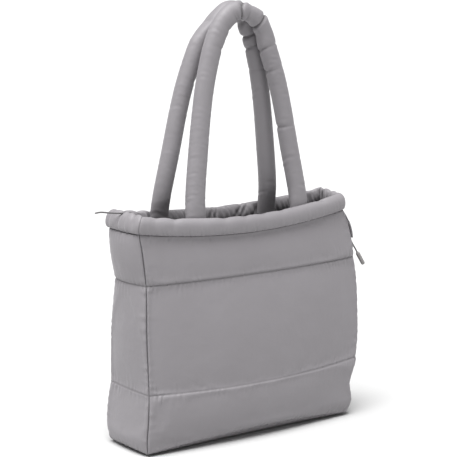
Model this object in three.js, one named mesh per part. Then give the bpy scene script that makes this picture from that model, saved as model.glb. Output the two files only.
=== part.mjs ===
import * as THREE from "three";

// A quilted tote in padded nylon. Four wall panels, each stitched across into three puffed channels,
// stand on a padded base. A stuffed rim in four lengths runs round the open mouth, two stuffed handles
// are stitched to its inner side, and a thin drawcord leaves the rim at each end.
// Millimetres. The origin is the middle of the footprint. The front faces -Y, and +Z is up.

// Body
const BODY_WIDTH = 400;
const BODY_DEPTH = 112;
const BASE_SEAM_HEIGHT = 4;
const LOWER_CHANNEL = 94;
const MIDDLE_CHANNEL = 168;
const UPPER_CHANNEL = 80;
const FACE_BOW = 20;
const SEAM_SAG = 15;

// Padding
const SEAM_THICKNESS = 3;
const SEAM_GAP = 0.3;
const PUFF_OUT = 7;
const PUFF_IN = 4;
const BASE_PUFF_IN = 5;
const BASE_GAP = 0.9;
const BASE_ROUND = 18;
const BASE_BELLY = 8;
const BASE_CURVE = 2.2;

// Rim
const RIM_HEIGHT = 27;
const RIM_THICKNESS = 19;
const CORNER_PINCH = 0.26;
const CORNER_DROP = 0.026;
const SHORTEST_RIM_STEP = 1.5;
const GATHER_WIDTH = 9;
const GATHER_DEPTH = 6;

// Handles
const HANDLE_SPACING = 206;
const HANDLE_WIDTH = 31;
const HANDLE_THICKNESS = 28;
const HANDLE_RISE = 300;
const HANDLE_TUCK = 22;
const HANDLE_END_THICKNESS = 13;
const HANDLE_GAP = 0.7;
const SEAT_DEPTH = 7;
const SEAT_RAMP = 7;
const CREASE_DEPTH = 3.2;
const CREASE_WIDTH = 7;
const CREASE_WRAP = 0.6;

// Drawcord, its keeper tab and its moulded end
const CORD_DIAMETER = 2.6;
const CORD_GAP = 0.3;
const TAB_WIDTH = 13;
const TAB_THICKNESS = 3;
const TAB_LENGTH = 50;
const TAB_AWAY = 7;
const TAB_DROP = 2;
const TAB_GAP = 0.6;
const TAB_PLACE = 0.24;
const CORD_END_DIAMETER = 7;
const CORD_END_LENGTH = 25;

const RIM_SEAM_HEIGHT = BASE_SEAM_HEIGHT + LOWER_CHANNEL + MIDDLE_CHANNEL + UPPER_CHANNEL;
const BODY_HEIGHT = RIM_SEAM_HEIGHT + RIM_HEIGHT;
const HANDLE_TOP_HEIGHT = BODY_HEIGHT + HANDLE_RISE;

// The body's shape at a few heights. height is a share of BODY_HEIGHT. The four corner seams stand
// their share of half BODY_WIDTH from the middle, and each end is its share of BODY_DEPTH deep.
// Bows are shares of FACE_BOW, and sags, how far a level dips in the middle of a face, of SEAM_SAG.
const SECTIONS = [
  { height: 0.0, frontLeft: 1.0, frontRight: 0.96, backLeft: 1.01, backRight: 0.97, leftDepth: 0.93,
    rightDepth: 0.93, frontBow: 0.35, backBow: 0.35, leftBow: 0.15, rightBow: 0.2, frontSag: -0.92, backSag: -0.8,
    endSag: -0.18 },
  { height: 0.07, frontLeft: 1.01, frontRight: 1.0, backLeft: 1.027, backRight: 1.0, leftDepth: 0.97,
    rightDepth: 0.97, frontBow: 0.65, backBow: 0.6, leftBow: 0.15, rightBow: 0.25, frontSag: -0.25, backSag: -0.2,
    endSag: -0.05 },
  { height: 0.15, frontLeft: 1.0, frontRight: 0.975, backLeft: 1.018, backRight: 0.99, leftDepth: 0.99,
    rightDepth: 0.97, frontBow: 0.9, backBow: 0.8, leftBow: 0.1, rightBow: 0.3, frontSag: 0.15, backSag: 0.1,
    endSag: 0 },
  { height: 0.26, frontLeft: 0.995, frontRight: 1.05, backLeft: 0.995, backRight: 1.01, leftDepth: 0.99,
    rightDepth: 0.98, frontBow: 1.0, backBow: 0.9, leftBow: 0.1, rightBow: 0.28, frontSag: 0.32, backSag: 0.2,
    endSag: 0 },
  { height: 0.5, frontLeft: 0.99, frontRight: 1.068, backLeft: 0.985, backRight: 1.03, leftDepth: 0.88,
    rightDepth: 0.88, frontBow: 0.95, backBow: 0.8, leftBow: 0.3, rightBow: 0.28, frontSag: 0.15, backSag: 0.15,
    endSag: 0 },
  { height: 0.712, frontLeft: 0.975, frontRight: 1.055, backLeft: 0.975, backRight: 1.035, leftDepth: 0.78,
    rightDepth: 0.78, frontBow: 0.75, backBow: 0.6, leftBow: 0.4, rightBow: 0.28, frontSag: 0.05, backSag: 0.15,
    endSag: 0 },
  { height: 0.85, frontLeft: 1.0, frontRight: 0.995, backLeft: 1.01, backRight: 1.02, leftDepth: 0.75,
    rightDepth: 0.72, frontBow: 0.7, backBow: 0.5, leftBow: 0.4, rightBow: 0.3, frontSag: 0.55, backSag: 0.6,
    endSag: 0 },
  { height: 0.93, frontLeft: 1.022, frontRight: 0.955, backLeft: 1.035, backRight: 1.03, leftDepth: 0.73,
    rightDepth: 0.69, frontBow: 0.7, backBow: 0.4, leftBow: 0.18, rightBow: 0.15, frontSag: 1.0, backSag: 1.0,
    endSag: 0 },
  { height: 1.0, frontLeft: 1.005, frontRight: 0.945, backLeft: 1.015, backRight: 1.035, leftDepth: 0.76,
    rightDepth: 0.69, frontBow: 0.7, backBow: 0.4, leftBow: 0.1, rightBow: 0.1, frontSag: 1.0, backSag: 1.0,
    endSag: 0 },
];

// The rim's section, from its outer seam edge up over the top and down the inner side.
// up is a share of RIM_HEIGHT, and out a share of RIM_THICKNESS measured outwards from the seam line.
const RIM_SECTION = [
  { up: 0.0, out: 0.0 },
  { up: 0.04, out: 0.19 },
  { up: 0.22, out: 0.34 },
  { up: 0.5, out: 0.38 },
  { up: 0.78, out: 0.28 },
  { up: 0.96, out: 0.04 },
  { up: 1.0, out: -0.17 },
  { up: 0.92, out: -0.42 },
  { up: 0.68, out: -0.58 },
  { up: 0.38, out: -0.6 },
  { up: 0.12, out: -0.44 },
  { up: 0.0, out: -SEAM_THICKNESS / RIM_THICKNESS },
];

// Gathers pressed into each length of the rim. at is a share of its run from the first corner,
// width a share of GATHER_WIDTH, and outside, top and inside are shares of GATHER_DEPTH.
const GATHERS = {
  front: [
    { at: 0.06, width: 1.2, outside: 0.1, top: 0.25, inside: 0.5 },
    { at: 0.14, width: 1.5, outside: 0.15, top: 0.35, inside: 0.6 },
    { at: 0.37, width: 1.6, outside: 0.15, top: 0.3, inside: 0.5 },
    { at: 0.47, width: 1.2, outside: 0.05, top: 0.25, inside: 0.6 },
    { at: 0.56, width: 1.5, outside: 0.1, top: 0.2, inside: 0.7 },
    { at: 0.66, width: 1.2, outside: 0.05, top: 0.2, inside: 0.5 },
    { at: 0.88, width: 1.4, outside: 0.1, top: 0.25, inside: 0.6 },
  ],
  right: [
    { at: 0.25, width: 0.9, outside: 0.3, top: 0.5, inside: 0.6 },
    { at: 0.5, width: 1.0, outside: 0.5, top: 0.9, inside: 0.8 },
    { at: 0.74, width: 0.9, outside: 0.4, top: 0.6, inside: 0.9 },
  ],
  back: [
    { at: 0.05, width: 0.9, outside: 0.3, top: 0.4, inside: 1.0 },
    { at: 0.11, width: 1.0, outside: 0.2, top: 0.1, inside: 0.8 },
    { at: 0.17, width: 0.8, outside: 0.2, top: 0.15, inside: 0.7 },
    { at: 0.35, width: 1.0, outside: 0.3, top: 0.7, inside: 1.0 },
    { at: 0.41, width: 0.9, outside: 0.2, top: 0.5, inside: 0.9 },
    { at: 0.46, width: 0.8, outside: 0.3, top: 0.8, inside: 1.0 },
    { at: 0.52, width: 1.2, outside: 0.2, top: 0.6, inside: 0.6 },
    { at: 0.59, width: 0.8, outside: 0.3, top: 0.9, inside: 0.9 },
    { at: 0.64, width: 0.9, outside: 0.2, top: 0.7, inside: 1.0 },
    { at: 0.83, width: 0.9, outside: 0.3, top: 0.5, inside: 0.8 },
    { at: 0.89, width: 1.0, outside: 0.2, top: 0.7, inside: 0.9 },
    { at: 0.95, width: 0.8, outside: 0.3, top: 0.5, inside: 1.0 },
  ],
  left: [
    { at: 0.16, width: 0.8, outside: 0.3, top: 0.5, inside: 0.9 },
    { at: 0.41, width: 1.0, outside: 0.4, top: 0.7, inside: 0.8 },
    { at: 0.72, width: 0.9, outside: 0.3, top: 0.5, inside: 0.8 },
  ],
};

// One leg of a handle, from its stitched end to the top of the arch. rise is a share of the way up,
// spread of the leg's distance from the middle, and width and thickness are shares of HANDLE_WIDTH and
// HANDLE_THICKNESS. lean is 1 where the leg lies against the rim's inner side and 0 at the top.
const HANDLE_LEG = [
  { rise: 0.0, spread: 1.0, lean: 1.0, width: 1.14, thickness: HANDLE_END_THICKNESS / HANDLE_THICKNESS },
  { rise: 0.07, spread: 1.0, lean: 1.0, width: 1.12, thickness: 0.66 },
  { rise: 0.15, spread: 0.982, lean: 0.98, width: 1.04, thickness: 0.9 },
  { rise: 0.35, spread: 0.878, lean: 0.66, width: 1.0, thickness: 1.0 },
  { rise: 0.53, spread: 0.781, lean: 0.4, width: 0.98, thickness: 0.98 },
  { rise: 0.65, spread: 0.7, lean: 0.25, width: 0.98, thickness: 0.98 },
  { rise: 0.76, spread: 0.598, lean: 0.12, width: 1.0, thickness: 0.98 },
  { rise: 0.835, spread: 0.512, lean: 0.06, width: 1.02, thickness: 0.97 },
  { rise: 0.905, spread: 0.4, lean: 0.03, width: 1.04, thickness: 0.96 },
  { rise: 0.965, spread: 0.24, lean: 0.01, width: 1.04, thickness: 0.96 },
];

// Creases across each handle where it bends. at is a share of its length from the left end,
// inside and outside are shares of CREASE_DEPTH on the two sides of the bend.
const HANDLE_CREASES = {
  front: [
    { at: 0.405, inside: 0.5, outside: 0.05 },
    { at: 0.452, inside: 0.55, outside: 0.05 },
    { at: 0.508, inside: 1.0, outside: 0.55 },
    { at: 0.552, inside: 0.9, outside: 0.9 },
    { at: 0.612, inside: 0.7, outside: 0.2 },
    { at: 0.66, inside: 0.6, outside: 0.1 },
    { at: 0.79, inside: 0.5, outside: 0.05 },
  ],
  back: [
    { at: 0.4, inside: 0.5, outside: 0.05 },
    { at: 0.46, inside: 0.6, outside: 0.1 },
    { at: 0.53, inside: 0.9, outside: 0.5 },
    { at: 0.578, inside: 1.0, outside: 0.5 },
    { at: 0.61, inside: 0.6, outside: 0.1 },
    { at: 0.66, inside: 0.5, outside: 0.1 },
  ],
};

// Where each handle's two legs and its top stand along X, as shares of HANDLE_SPACING from the middle
// of the body. shoulder spreads the right leg further where it bends into the top, and the girths widen
// or narrow the left and the right leg.
const HANDLE_PLACES = {
  front: { left: -0.472, right: 0.51, top: -0.02, shoulder: 0.09, leftGirth: 1.05, rightGirth: 0.95 },
  back: { left: -0.595, right: 0.418, top: 0.03, shoulder: 0, leftGirth: 0.94, rightGirth: 0.98 },
};
const SHOULDER_RISE = 0.93;
const SHOULDER_REACH = 0.1;

// How the keeper tab falls: down is a share of TAB_LENGTH, and away, how far it stands off the wall,
// of TAB_AWAY.
const TAB_FOLD = [
  { down: 0.0, away: 0.0 },
  { down: 0.2, away: 0.35 },
  { down: 0.44, away: 0.8 },
  { down: 0.7, away: 1.0 },
  { down: 0.86, away: 0.97 },
  { down: 1.0, away: 0.85 },
];

// The faces of the body in order round it, each from its first corner to its second.
const FACES = {
  front: { from: { x: "frontLeft", sideX: -1, sideY: -1 }, to: { x: "frontRight", sideX: 1, sideY: -1 },
    outward: new THREE.Vector3(0, -1, 0), bow: "frontBow", sag: "frontSag", isWide: true },
  right: { from: { x: "frontRight", sideX: 1, sideY: -1 }, to: { x: "backRight", sideX: 1, sideY: 1 },
    outward: new THREE.Vector3(1, 0, 0), bow: "rightBow", sag: "endSag", isWide: false },
  back: { from: { x: "backRight", sideX: 1, sideY: 1 }, to: { x: "backLeft", sideX: -1, sideY: 1 },
    outward: new THREE.Vector3(0, 1, 0), bow: "backBow", sag: "backSag", isWide: true },
  left: { from: { x: "backLeft", sideX: -1, sideY: 1 }, to: { x: "frontLeft", sideX: -1, sideY: -1 },
    outward: new THREE.Vector3(-1, 0, 0), bow: "leftBow", sag: "endSag", isWide: false },
};

// How far the padding has risen at a share of the way between two seams, from 0 at either seam to 1.
const PANEL_FIRMNESS = 2.2;
const WIDE_FIRMNESS = 4;
const dome = (share, firmness) => {
  const fromMiddle = Math.min(1, Math.abs(2 * share - 1));
  return Math.pow(1 - Math.pow(fromMiddle, firmness), 1 / firmness);
};

// A column of a table at any share, on a smooth curve through its rows.
function readTable(table, key, column, share) {
  const at = Math.min(Math.max(share, table[0][key]), table[table.length - 1][key]);
  const upper = Math.max(1, table.findIndex((row) => row[key] >= at));
  const slopeAt = (index) => {
    const before = table[Math.max(0, index - 1)];
    const after = table[Math.min(table.length - 1, index + 1)];
    return (after[column] - before[column]) / (after[key] - before[key]);
  };
  const [a, b] = [table[upper - 1], table[upper]];
  const span = b[key] - a[key];
  const t = (at - a[key]) / span;
  const ease = t * t * (3 - 2 * t);
  const fromA = span * slopeAt(upper - 1) * t * (1 - t) * (1 - t);
  const fromB = span * slopeAt(upper) * t * t * (t - 1);
  return a[column] * (1 - ease) + b[column] * ease + fromA + fromB;
}

const sectionValue = (column, height) => readTable(SECTIONS, "height", column, height / BODY_HEIGHT);

// A corner seam at a height, moved out from both of its faces by offset.
function cornerPoint(corner, height, offset) {
  const depth = sectionValue(corner.sideX < 0 ? "leftDepth" : "rightDepth", height);
  const x = (sectionValue(corner.x, height) * BODY_WIDTH) / 2;
  const y = (depth * BODY_DEPTH) / 2;
  return new THREE.Vector3(corner.sideX * (x + offset), corner.sideY * (y + offset), height);
}

// A point of a face, a share of the way between its corners and offset outwards from its seam line.
function skinPoint(face, along, height, offset) {
  const from = cornerPoint(face.from, height, offset);
  const to = cornerPoint(face.to, height, offset);
  const arch = 4 * along * (1 - along);
  const point = from.lerp(to, along);
  point.addScaledVector(face.outward, arch * FACE_BOW * sectionValue(face.bow, height));
  point.z -= arch * SEAM_SAG * sectionValue(face.sag, height);
  return point;
}

const faceLength = (face, height) =>
  cornerPoint(face.from, height, 0).distanceTo(cornerPoint(face.to, height, 0));

// A share that runs across a face, drawn in by the seam gap at both ends.
function withSeamGap(face, height, share) {
  const gap = SEAM_GAP / faceLength(face, height);
  return gap + share * (1 - 2 * gap);
}

// A closed mesh from points and faces of three or more corners, with its faces turned outwards.
function closedGeometry(points, faces) {
  const triangles = faces.flatMap((f) => f.slice(2).map((_, i) => [f[0], f[i + 1], f[i + 2]]));
  const volume = triangles.reduce(
    (sum, [a, b, c]) => sum + points[a].dot(points[b].clone().cross(points[c])), 0);
  const turned = volume < 0 ? triangles.map(([a, b, c]) => [a, c, b]) : triangles;
  const geometry = new THREE.BufferGeometry().setFromPoints(points);
  geometry.setIndex(turned.flat());
  geometry.computeVertexNormals();
  return geometry;
}

// A pad: an outer and an inner skin over the same grid of shares, closed along its four edges.
function padGeometry(acrossShares, upShares, outerPoint, innerPoint) {
  const columns = acrossShares.length;
  const rows = upShares.length;
  const skin = (pointAt) => upShares.flatMap((up) => acrossShares.map((across) => pointAt(across, up)));
  const points = [...skin(outerPoint), ...skin(innerPoint)];
  const outer = (i, j) => j * columns + i;
  const inner = (i, j) => rows * columns + j * columns + i;
  const [last, top] = [columns - 1, rows - 1];
  const faces = [];
  for (let j = 0; j < rows - 1; j++) {
    for (let i = 0; i < columns - 1; i++) {
      faces.push([outer(i, j), outer(i + 1, j), outer(i + 1, j + 1), outer(i, j + 1)]);
      faces.push([inner(i, j), inner(i, j + 1), inner(i + 1, j + 1), inner(i + 1, j)]);
    }
    faces.push([outer(0, j), outer(0, j + 1), inner(0, j + 1), inner(0, j)]);
    faces.push([outer(last, j + 1), outer(last, j), inner(last, j), inner(last, j + 1)]);
  }
  for (let i = 0; i < columns - 1; i++) {
    faces.push([outer(i + 1, 0), outer(i, 0), inner(i, 0), inner(i + 1, 0)]);
    faces.push([outer(i, top), outer(i + 1, top), inner(i + 1, top), inner(i, top)]);
  }
  return closedGeometry(points, faces);
}

// A solid through closed rings of equal count, with each end closed across by a ladder of faces.
function sweptGeometry(rings) {
  const sides = rings[0].length;
  const points = rings.flat();
  const faces = [];
  for (let k = 0; k < rings.length - 1; k++) {
    for (let i = 0; i < sides; i++) {
      const next = (i + 1) % sides;
      faces.push([k * sides + i, k * sides + next, (k + 1) * sides + next, (k + 1) * sides + i]);
    }
  }
  const last = (rings.length - 1) * sides;
  for (let i = 0; i < sides / 2 - 1; i++) {
    const [a, b, c, d] = [i, i + 1, sides - 2 - i, sides - 1 - i];
    const rung = b === c ? [a, b, d] : [a, b, c, d];
    faces.push([...rung].reverse());
    faces.push(rung.map((corner) => last + corner));
  }
  return closedGeometry(points, faces);
}

const NYLON = new THREE.MeshStandardMaterial({ color: 0x939196, roughness: 0.5, metalness: 0 });
const CORD = new THREE.MeshStandardMaterial({ color: 0x6c6a6d, roughness: 0.7, metalness: 0 });
const MOULDED = new THREE.MeshStandardMaterial({ color: 0x8e8c8a, roughness: 0.45, metalness: 0 });

function named(name, geometry, material) {
  const mesh = new THREE.Mesh(geometry, material);
  mesh.name = name;
  return mesh;
}

// Shares of the way between two seams, closer together where the padding rises steeply.
const mirrored = (half) => [...half, ...half.slice(0, -1).map((share) => 1 - share).reverse()];
const WIDE_SHARES = mirrored([0, 0.012, 0.045, 0.1, 0.18, 0.28, 0.39, 0.5]);
const NARROW_SHARES = mirrored([0, 0.05, 0.18, 0.5]);
const CHANNEL_SHARES = [0, 0.03, 0.1, 0.25, 0.5, 0.75, 0.9, 0.97];
const ROUND_SHARES = [0, 0.12, 0.45, 1];
const BASE_ACROSS_SHARES = [0.1, 0.2, 0.3, 0.4, 0.5];
const BASE_BACK_SHARES = [0.26, 0.38, 0.5];

// The rows of a wall, from the base seam to the rim seam, with how far the padding has risen at each.
function wallRows() {
  const rows = [];
  let floor = BASE_SEAM_HEIGHT;
  for (const channel of [LOWER_CHANNEL, MIDDLE_CHANNEL, UPPER_CHANNEL]) {
    for (const share of CHANNEL_SHARES) {
      rows.push({ height: floor + share * channel, puff: dome(share, PANEL_FIRMNESS) });
    }
    floor += channel;
  }
  rows[0].height += SEAM_GAP;
  rows.push({ height: floor - SEAM_GAP, puff: 0 });
  return rows;
}

function wallPanel(name, face) {
  const firmness = face.isWide ? WIDE_FIRMNESS : PANEL_FIRMNESS;
  const pointAt = (offsetFor) => (across, row) =>
    skinPoint(face, withSeamGap(face, row.height, across), row.height,
      offsetFor(row.puff * dome(across, firmness)));
  return named(
    name,
    padGeometry(face.isWide ? WIDE_SHARES : NARROW_SHARES, wallRows(),
      pointAt((puff) => PUFF_OUT * puff),
      pointAt((puff) => -SEAM_THICKNESS - PUFF_IN * puff)),
    NYLON);
}

// The base follows the lower edges of the four walls, rounds in below them and is flat underneath.
function basePanel() {
  const edge = (face, along, offset) => skinPoint(face, along, BASE_SEAM_HEIGHT - BASE_GAP, offset);
  const plan = (across, back, offset) => {
    const corners = new THREE.Vector3()
      .addScaledVector(edge(FACES.front, 0, offset), (1 - across) * (1 - back))
      .addScaledVector(edge(FACES.front, 1, offset), across * (1 - back))
      .addScaledVector(edge(FACES.back, 0, offset), across * back)
      .addScaledVector(edge(FACES.back, 1, offset), (1 - across) * back);
    return new THREE.Vector3()
      .addScaledVector(edge(FACES.front, across, offset), 1 - back)
      .addScaledVector(edge(FACES.back, 1 - across, offset), back)
      .addScaledVector(edge(FACES.left, 1 - back, offset), 1 - across)
      .addScaledVector(edge(FACES.right, back, offset), across)
      .sub(corners);
  };
  // How far in from the edge a point lies, as a share of the rounded edge. Corners round in plan too.
  const inwards = (across, back) => {
    const belly = BASE_ROUND + BASE_BELLY * 4 * across * (1 - across);
    const out = (share, size, reach) => Math.max(0, 1 - (Math.min(share, 1 - share) * size) / reach);
    return 1 - Math.min(1, Math.hypot(out(across, BODY_WIDTH, BASE_ROUND), out(back, BODY_DEPTH, belly)));
  };
  const under = (across, back) => {
    const point = plan(across, back, 0);
    return point.setZ(point.z * Math.pow(1 - inwards(across, back), BASE_CURVE));
  };
  const over = (across, back) => {
    const point = plan(across, back, -SEAM_THICKNESS);
    const puff = dome(across, WIDE_FIRMNESS) * dome(back, PANEL_FIRMNESS);
    return point.setZ(point.z + BASE_PUFF_IN * puff * inwards(across, back));
  };
  const rounded = (size) => ROUND_SHARES.map((share) => (share * BASE_ROUND) / size);
  const acrossShares = mirrored([...rounded(BODY_WIDTH), ...BASE_ACROSS_SHARES]);
  const backShares = mirrored([...rounded(BODY_DEPTH), ...BASE_BACK_SHARES]);
  return named("base_panel", padGeometry(acrossShares, backShares, under, over), NYLON);
}

// The places along X of a handle's two legs, and their shares of the rim's run where they seat.
const legPlaces = (faceName) =>
  ["left", "right"].map((leg) => HANDLE_PLACES[faceName][leg] * HANDLE_SPACING);

function seatShare(faceName, x) {
  const [from, to] = [0, 1].map((along) => skinPoint(FACES[faceName], along, RIM_SEAM_HEIGHT, -SEAT_DEPTH));
  return (x - from.x) / (to.x - from.x);
}

const seatShares = (faceName) => legPlaces(faceName).map((x) => seatShare(faceName, x));

// How far a place is inside a dip of half width reach, from 0 at its rim to 1 at its middle.
const dip = (distance, reach) => Math.max(0, 1 - Math.abs(distance) / reach);

// The rim is stuffed and gathered. Its inner side is pressed flat where a handle is stitched to it.
function rimPoint(faceName, along, row) {
  const face = FACES[faceName];
  const run = faceLength(face, RIM_SEAM_HEIGHT);
  const pressed = (column) =>
    GATHERS[faceName].reduce((most, gather) =>
      Math.max(most, gather[column] * dip((along - gather.at) * run, gather.width * GATHER_WIDTH)), 0);
  const atCorner = 1 - dome(along, WIDE_FIRMNESS);
  const plump = 1 - CORNER_PINCH * atCorner;
  const top = row.up * row.up * GATHER_DEPTH * pressed("top");
  const round = Math.sin(Math.PI * row.up);
  let offset = row.out * RIM_THICKNESS;
  if (row.out > 0) {
    offset = offset * plump - GATHER_DEPTH * pressed("outside") * round;
  } else if (row.up > 0) {
    offset = Math.min(-SEAM_THICKNESS, offset * plump + GATHER_DEPTH * pressed("inside") * round);
  }
  if (face.isWide && row.out < 0) {
    for (const seat of seatShares(faceName)) {
      const beside = Math.max(0, Math.abs(along - seat) * run - (HANDLE_WIDTH * HANDLE_LEG[0].width) / 2);
      const flat = dip(beside, SEAT_RAMP);
      offset += flat * Math.max(0, -SEAT_DEPTH - offset);
    }
  }
  const lift = row.up * RIM_HEIGHT * (1 - CORNER_DROP * atCorner) - top;
  const base = skinPoint(face, along, RIM_SEAM_HEIGHT, offset);
  const leaned = skinPoint(face, along, RIM_SEAM_HEIGHT + row.up * RIM_HEIGHT, offset);
  return leaned.setZ(base.z + SEAM_GAP + lift);
}

const RIM_STEPS = { front: 16, right: 5, back: 14, left: 5 };

function rimLength(faceName) {
  const face = FACES[faceName];
  const run = faceLength(face, RIM_SEAM_HEIGHT);
  const shares = Array.from({ length: RIM_STEPS[faceName] + 1 }, (_, i) => i / RIM_STEPS[faceName]);
  for (const gather of GATHERS[faceName]) {
    const reach = (gather.width * GATHER_WIDTH) / run;
    shares.push(gather.at - reach, gather.at, gather.at + reach);
  }
  if (face.isWide) {
    const half = (HANDLE_WIDTH * HANDLE_LEG[0].width) / 2;
    for (const seat of seatShares(faceName)) {
      const steps = [-half - SEAT_RAMP, -half, half, half + SEAT_RAMP];
      shares.push(...steps.map((step) => seat + step / run));
    }
  }
  const closest = SHORTEST_RIM_STEP / run;
  const kept = [...shares, 0, 1]
    .filter((share) => share >= 0 && share <= 1)
    .sort((a, b) => a - b)
    .filter((share, i, all) => i === 0 || share === 1 || share - all[i - 1] > closest)
    .filter((share, i, all) => share === 1 ? i === all.length - 1 : 1 - share > closest);
  const rings = kept.map((share) => {
    const along = withSeamGap(face, RIM_SEAM_HEIGHT, share);
    return RIM_SECTION.map((row) => rimPoint(faceName, along, row));
  });
  return named(`${faceName}_rim`, sweptGeometry(rings), NYLON);
}

// Where a handle's leg is stitched: the place on the pressed inner side of the rim that it lies against.
function legSeat(faceName, x) {
  const seat = skinPoint(FACES[faceName], seatShare(faceName, x), RIM_SEAM_HEIGHT, -SEAT_DEPTH - HANDLE_GAP);
  return seat.set(x, seat.y, seat.z + RIM_HEIGHT - HANDLE_TUCK);
}

const HANDLE_SIDES = 12;
const HANDLE_STEPS = 34;

function handle(faceName) {
  const side = FACES[faceName].outward.y;
  const places = HANDLE_PLACES[faceName];
  const seats = legPlaces(faceName).map((x) => legSeat(faceName, x));
  const topThickness = HANDLE_LEG.at(-1).thickness * HANDLE_THICKNESS;
  const top = new THREE.Vector3(
    places.top * HANDLE_SPACING, side * (topThickness / 2 + HANDLE_GAP), HANDLE_TOP_HEIGHT);
  const legPoints = (seat, shoulder) =>
    HANDLE_LEG.map((row) => {
      const against = seat.y - (side * row.thickness * HANDLE_THICKNESS) / 2;
      const spread = row.spread + shoulder * dip(row.rise - SHOULDER_RISE, SHOULDER_REACH);
      return new THREE.Vector3(
        top.x + (seat.x - top.x) * spread,
        top.y + (against - top.y) * row.lean,
        seat.z + (top.z - seat.z) * row.rise);
    });
  const points = [...legPoints(seats[0], 0), top, ...legPoints(seats[1], places.shoulder).reverse()];
  const line = new THREE.CatmullRomCurve3(points, false, "centripetal");
  const length = line.getLength();

  const girth = (share, column) => {
    const rise = (line.getPointAt(share).z - seats[0].z) / (top.z - seats[0].z);
    return readTable(HANDLE_LEG, "rise", column, rise);
  };
  const crease = (share, column) =>
    HANDLE_CREASES[faceName].reduce((deepest, row) =>
      Math.max(deepest, row[column] * dip((share - row.at) * length, CREASE_WIDTH)), 0);
  const reach = CREASE_WIDTH / length;
  const shares = Array.from({ length: HANDLE_STEPS + 1 }, (_, i) => i / HANDLE_STEPS);
  for (const row of HANDLE_CREASES[faceName]) shares.push(row.at - reach, row.at, row.at + reach);
  shares.sort((a, b) => a - b);

  const rings = shares.map((share) => {
    const centre = line.getPointAt(share);
    const tangent = line.getTangentAt(share);
    const across = new THREE.Vector3(0, 1, 0).addScaledVector(tangent, -tangent.y).normalize();
    const outOfBend = new THREE.Vector3().crossVectors(tangent, across).normalize();
    const legGirth = places.leftGirth + (places.rightGirth - places.leftGirth) * share;
    const width = (girth(share, "width") * HANDLE_WIDTH * legGirth) / 2;
    const thickness = (girth(share, "thickness") * HANDLE_THICKNESS) / 2;
    return Array.from({ length: HANDLE_SIDES }, (_, i) => {
      const angle = (2 * Math.PI * i) / HANDLE_SIDES;
      const outside = (1 + Math.cos(angle)) / 2;
      const creased = outside * crease(share, "outside") + (1 - outside) * crease(share, "inside");
      const pressed = CREASE_DEPTH * creased;
      return centre.clone()
        .addScaledVector(outOfBend, (width - pressed) * Math.cos(angle))
        .addScaledVector(across, (thickness - CREASE_WRAP * pressed) * Math.sin(angle));
    });
  });
  return named(`${faceName}_handle`, sweptGeometry(rings), NYLON);
}

// A round cord along a few chosen points.
const CORD_SIDES = 8;
const CORD_STEPS_PER_POINT = 2;
function cord(name, points) {
  const section = new THREE.Shape();
  const radius = CORD_DIAMETER / 2;
  section.absarc(0, 0, radius, 0, 2 * Math.PI, false);
  const steps = CORD_STEPS_PER_POINT * points.length;
  const path = new THREE.CatmullRomCurve3(points);
  const geometry = new THREE.ExtrudeGeometry(section, { steps, curveSegments: CORD_SIDES, extrudePath: path });
  return named(name, geometry, CORD);
}

// The left stub comes up inside the rim, crosses its top in a gather and stands out level.
const LEFT_CORD_POINTS = [
  new THREE.Vector3(-182, 8, 360),
  new THREE.Vector3(-185, 8, 367),
  new THREE.Vector3(-192, 8, 371),
  new THREE.Vector3(-203, 8, 371.8),
  new THREE.Vector3(-216, 8, 373),
  new THREE.Vector3(-230, 8, 375.2),
  new THREE.Vector3(-242, 8, 377),
  new THREE.Vector3(-252, 8, 376.5),
];

// The right stub hangs out of the keeper tab and carries the moulded end.
const RIGHT_CORD_POINTS = [
  new THREE.Vector3(223.3, -21.7, 293.6),
  new THREE.Vector3(223.7, -21.7, 289),
  new THREE.Vector3(227.5, -22, 282),
  new THREE.Vector3(233, -22, 274),
  new THREE.Vector3(237.8, -22, 266.5),
];

// How far the wall's outer skin stands from its seam line at a place.
function skinRise(along, height) {
  const floor = RIM_SEAM_HEIGHT - UPPER_CHANNEL;
  return PUFF_OUT * dome((height - floor) / UPPER_CHANNEL, PANEL_FIRMNESS) * dome(along, PANEL_FIRMNESS);
}

// A folded tab is caught in the seam under the right end of the rim and hangs clear of the wall.
function keeperTab() {
  const face = FACES.right;
  const half = TAB_WIDTH / 2 / faceLength(face, RIM_SEAM_HEIGHT);
  const tabPoint = (lift) => (across, row) => {
    const along = TAB_PLACE + half * (2 * across - 1);
    const height = RIM_SEAM_HEIGHT - TAB_DROP - row.down * TAB_LENGTH;
    const away = skinRise(TAB_PLACE, height) + TAB_GAP + row.away * TAB_AWAY + lift;
    return skinPoint(face, along, height, 0).addScaledVector(face.outward, away);
  };
  return named("cord_tab", padGeometry([0, 0.5, 1], TAB_FOLD, tabPoint(TAB_THICKNESS), tabPoint(0)), NYLON);
}

// The moulded end's profile. along is a share of CORD_END_LENGTH and out of half CORD_END_DIAMETER.
const CORD_END_PROFILE = [
  { along: 0.0, out: 0.0 },
  { along: 0.0, out: 0.62 },
  { along: 0.08, out: 0.8 },
  { along: 0.24, out: 1.0 },
  { along: 0.92, out: 1.0 },
  { along: 1.0, out: 0.75 },
  { along: 1.0, out: 0.0 },
];
const CORD_END_SIDES = 12;

// A plain turned barrel, narrower at its neck, in line with the cord that it is on.
function cordEnd() {
  const radius = CORD_END_DIAMETER / 2;
  const profile = CORD_END_PROFILE.map(
    (row) => new THREE.Vector2(row.out * radius, row.along * CORD_END_LENGTH));
  const mesh = named("cord_end", new THREE.LatheGeometry(profile, CORD_END_SIDES), MOULDED);
  const [before, end] = RIGHT_CORD_POINTS.slice(-2);
  const direction = end.clone().sub(before).normalize();
  mesh.quaternion.setFromUnitVectors(new THREE.Vector3(0, 1, 0), direction);
  mesh.position.copy(end).addScaledVector(direction, CORD_GAP);
  return mesh;
}

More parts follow.
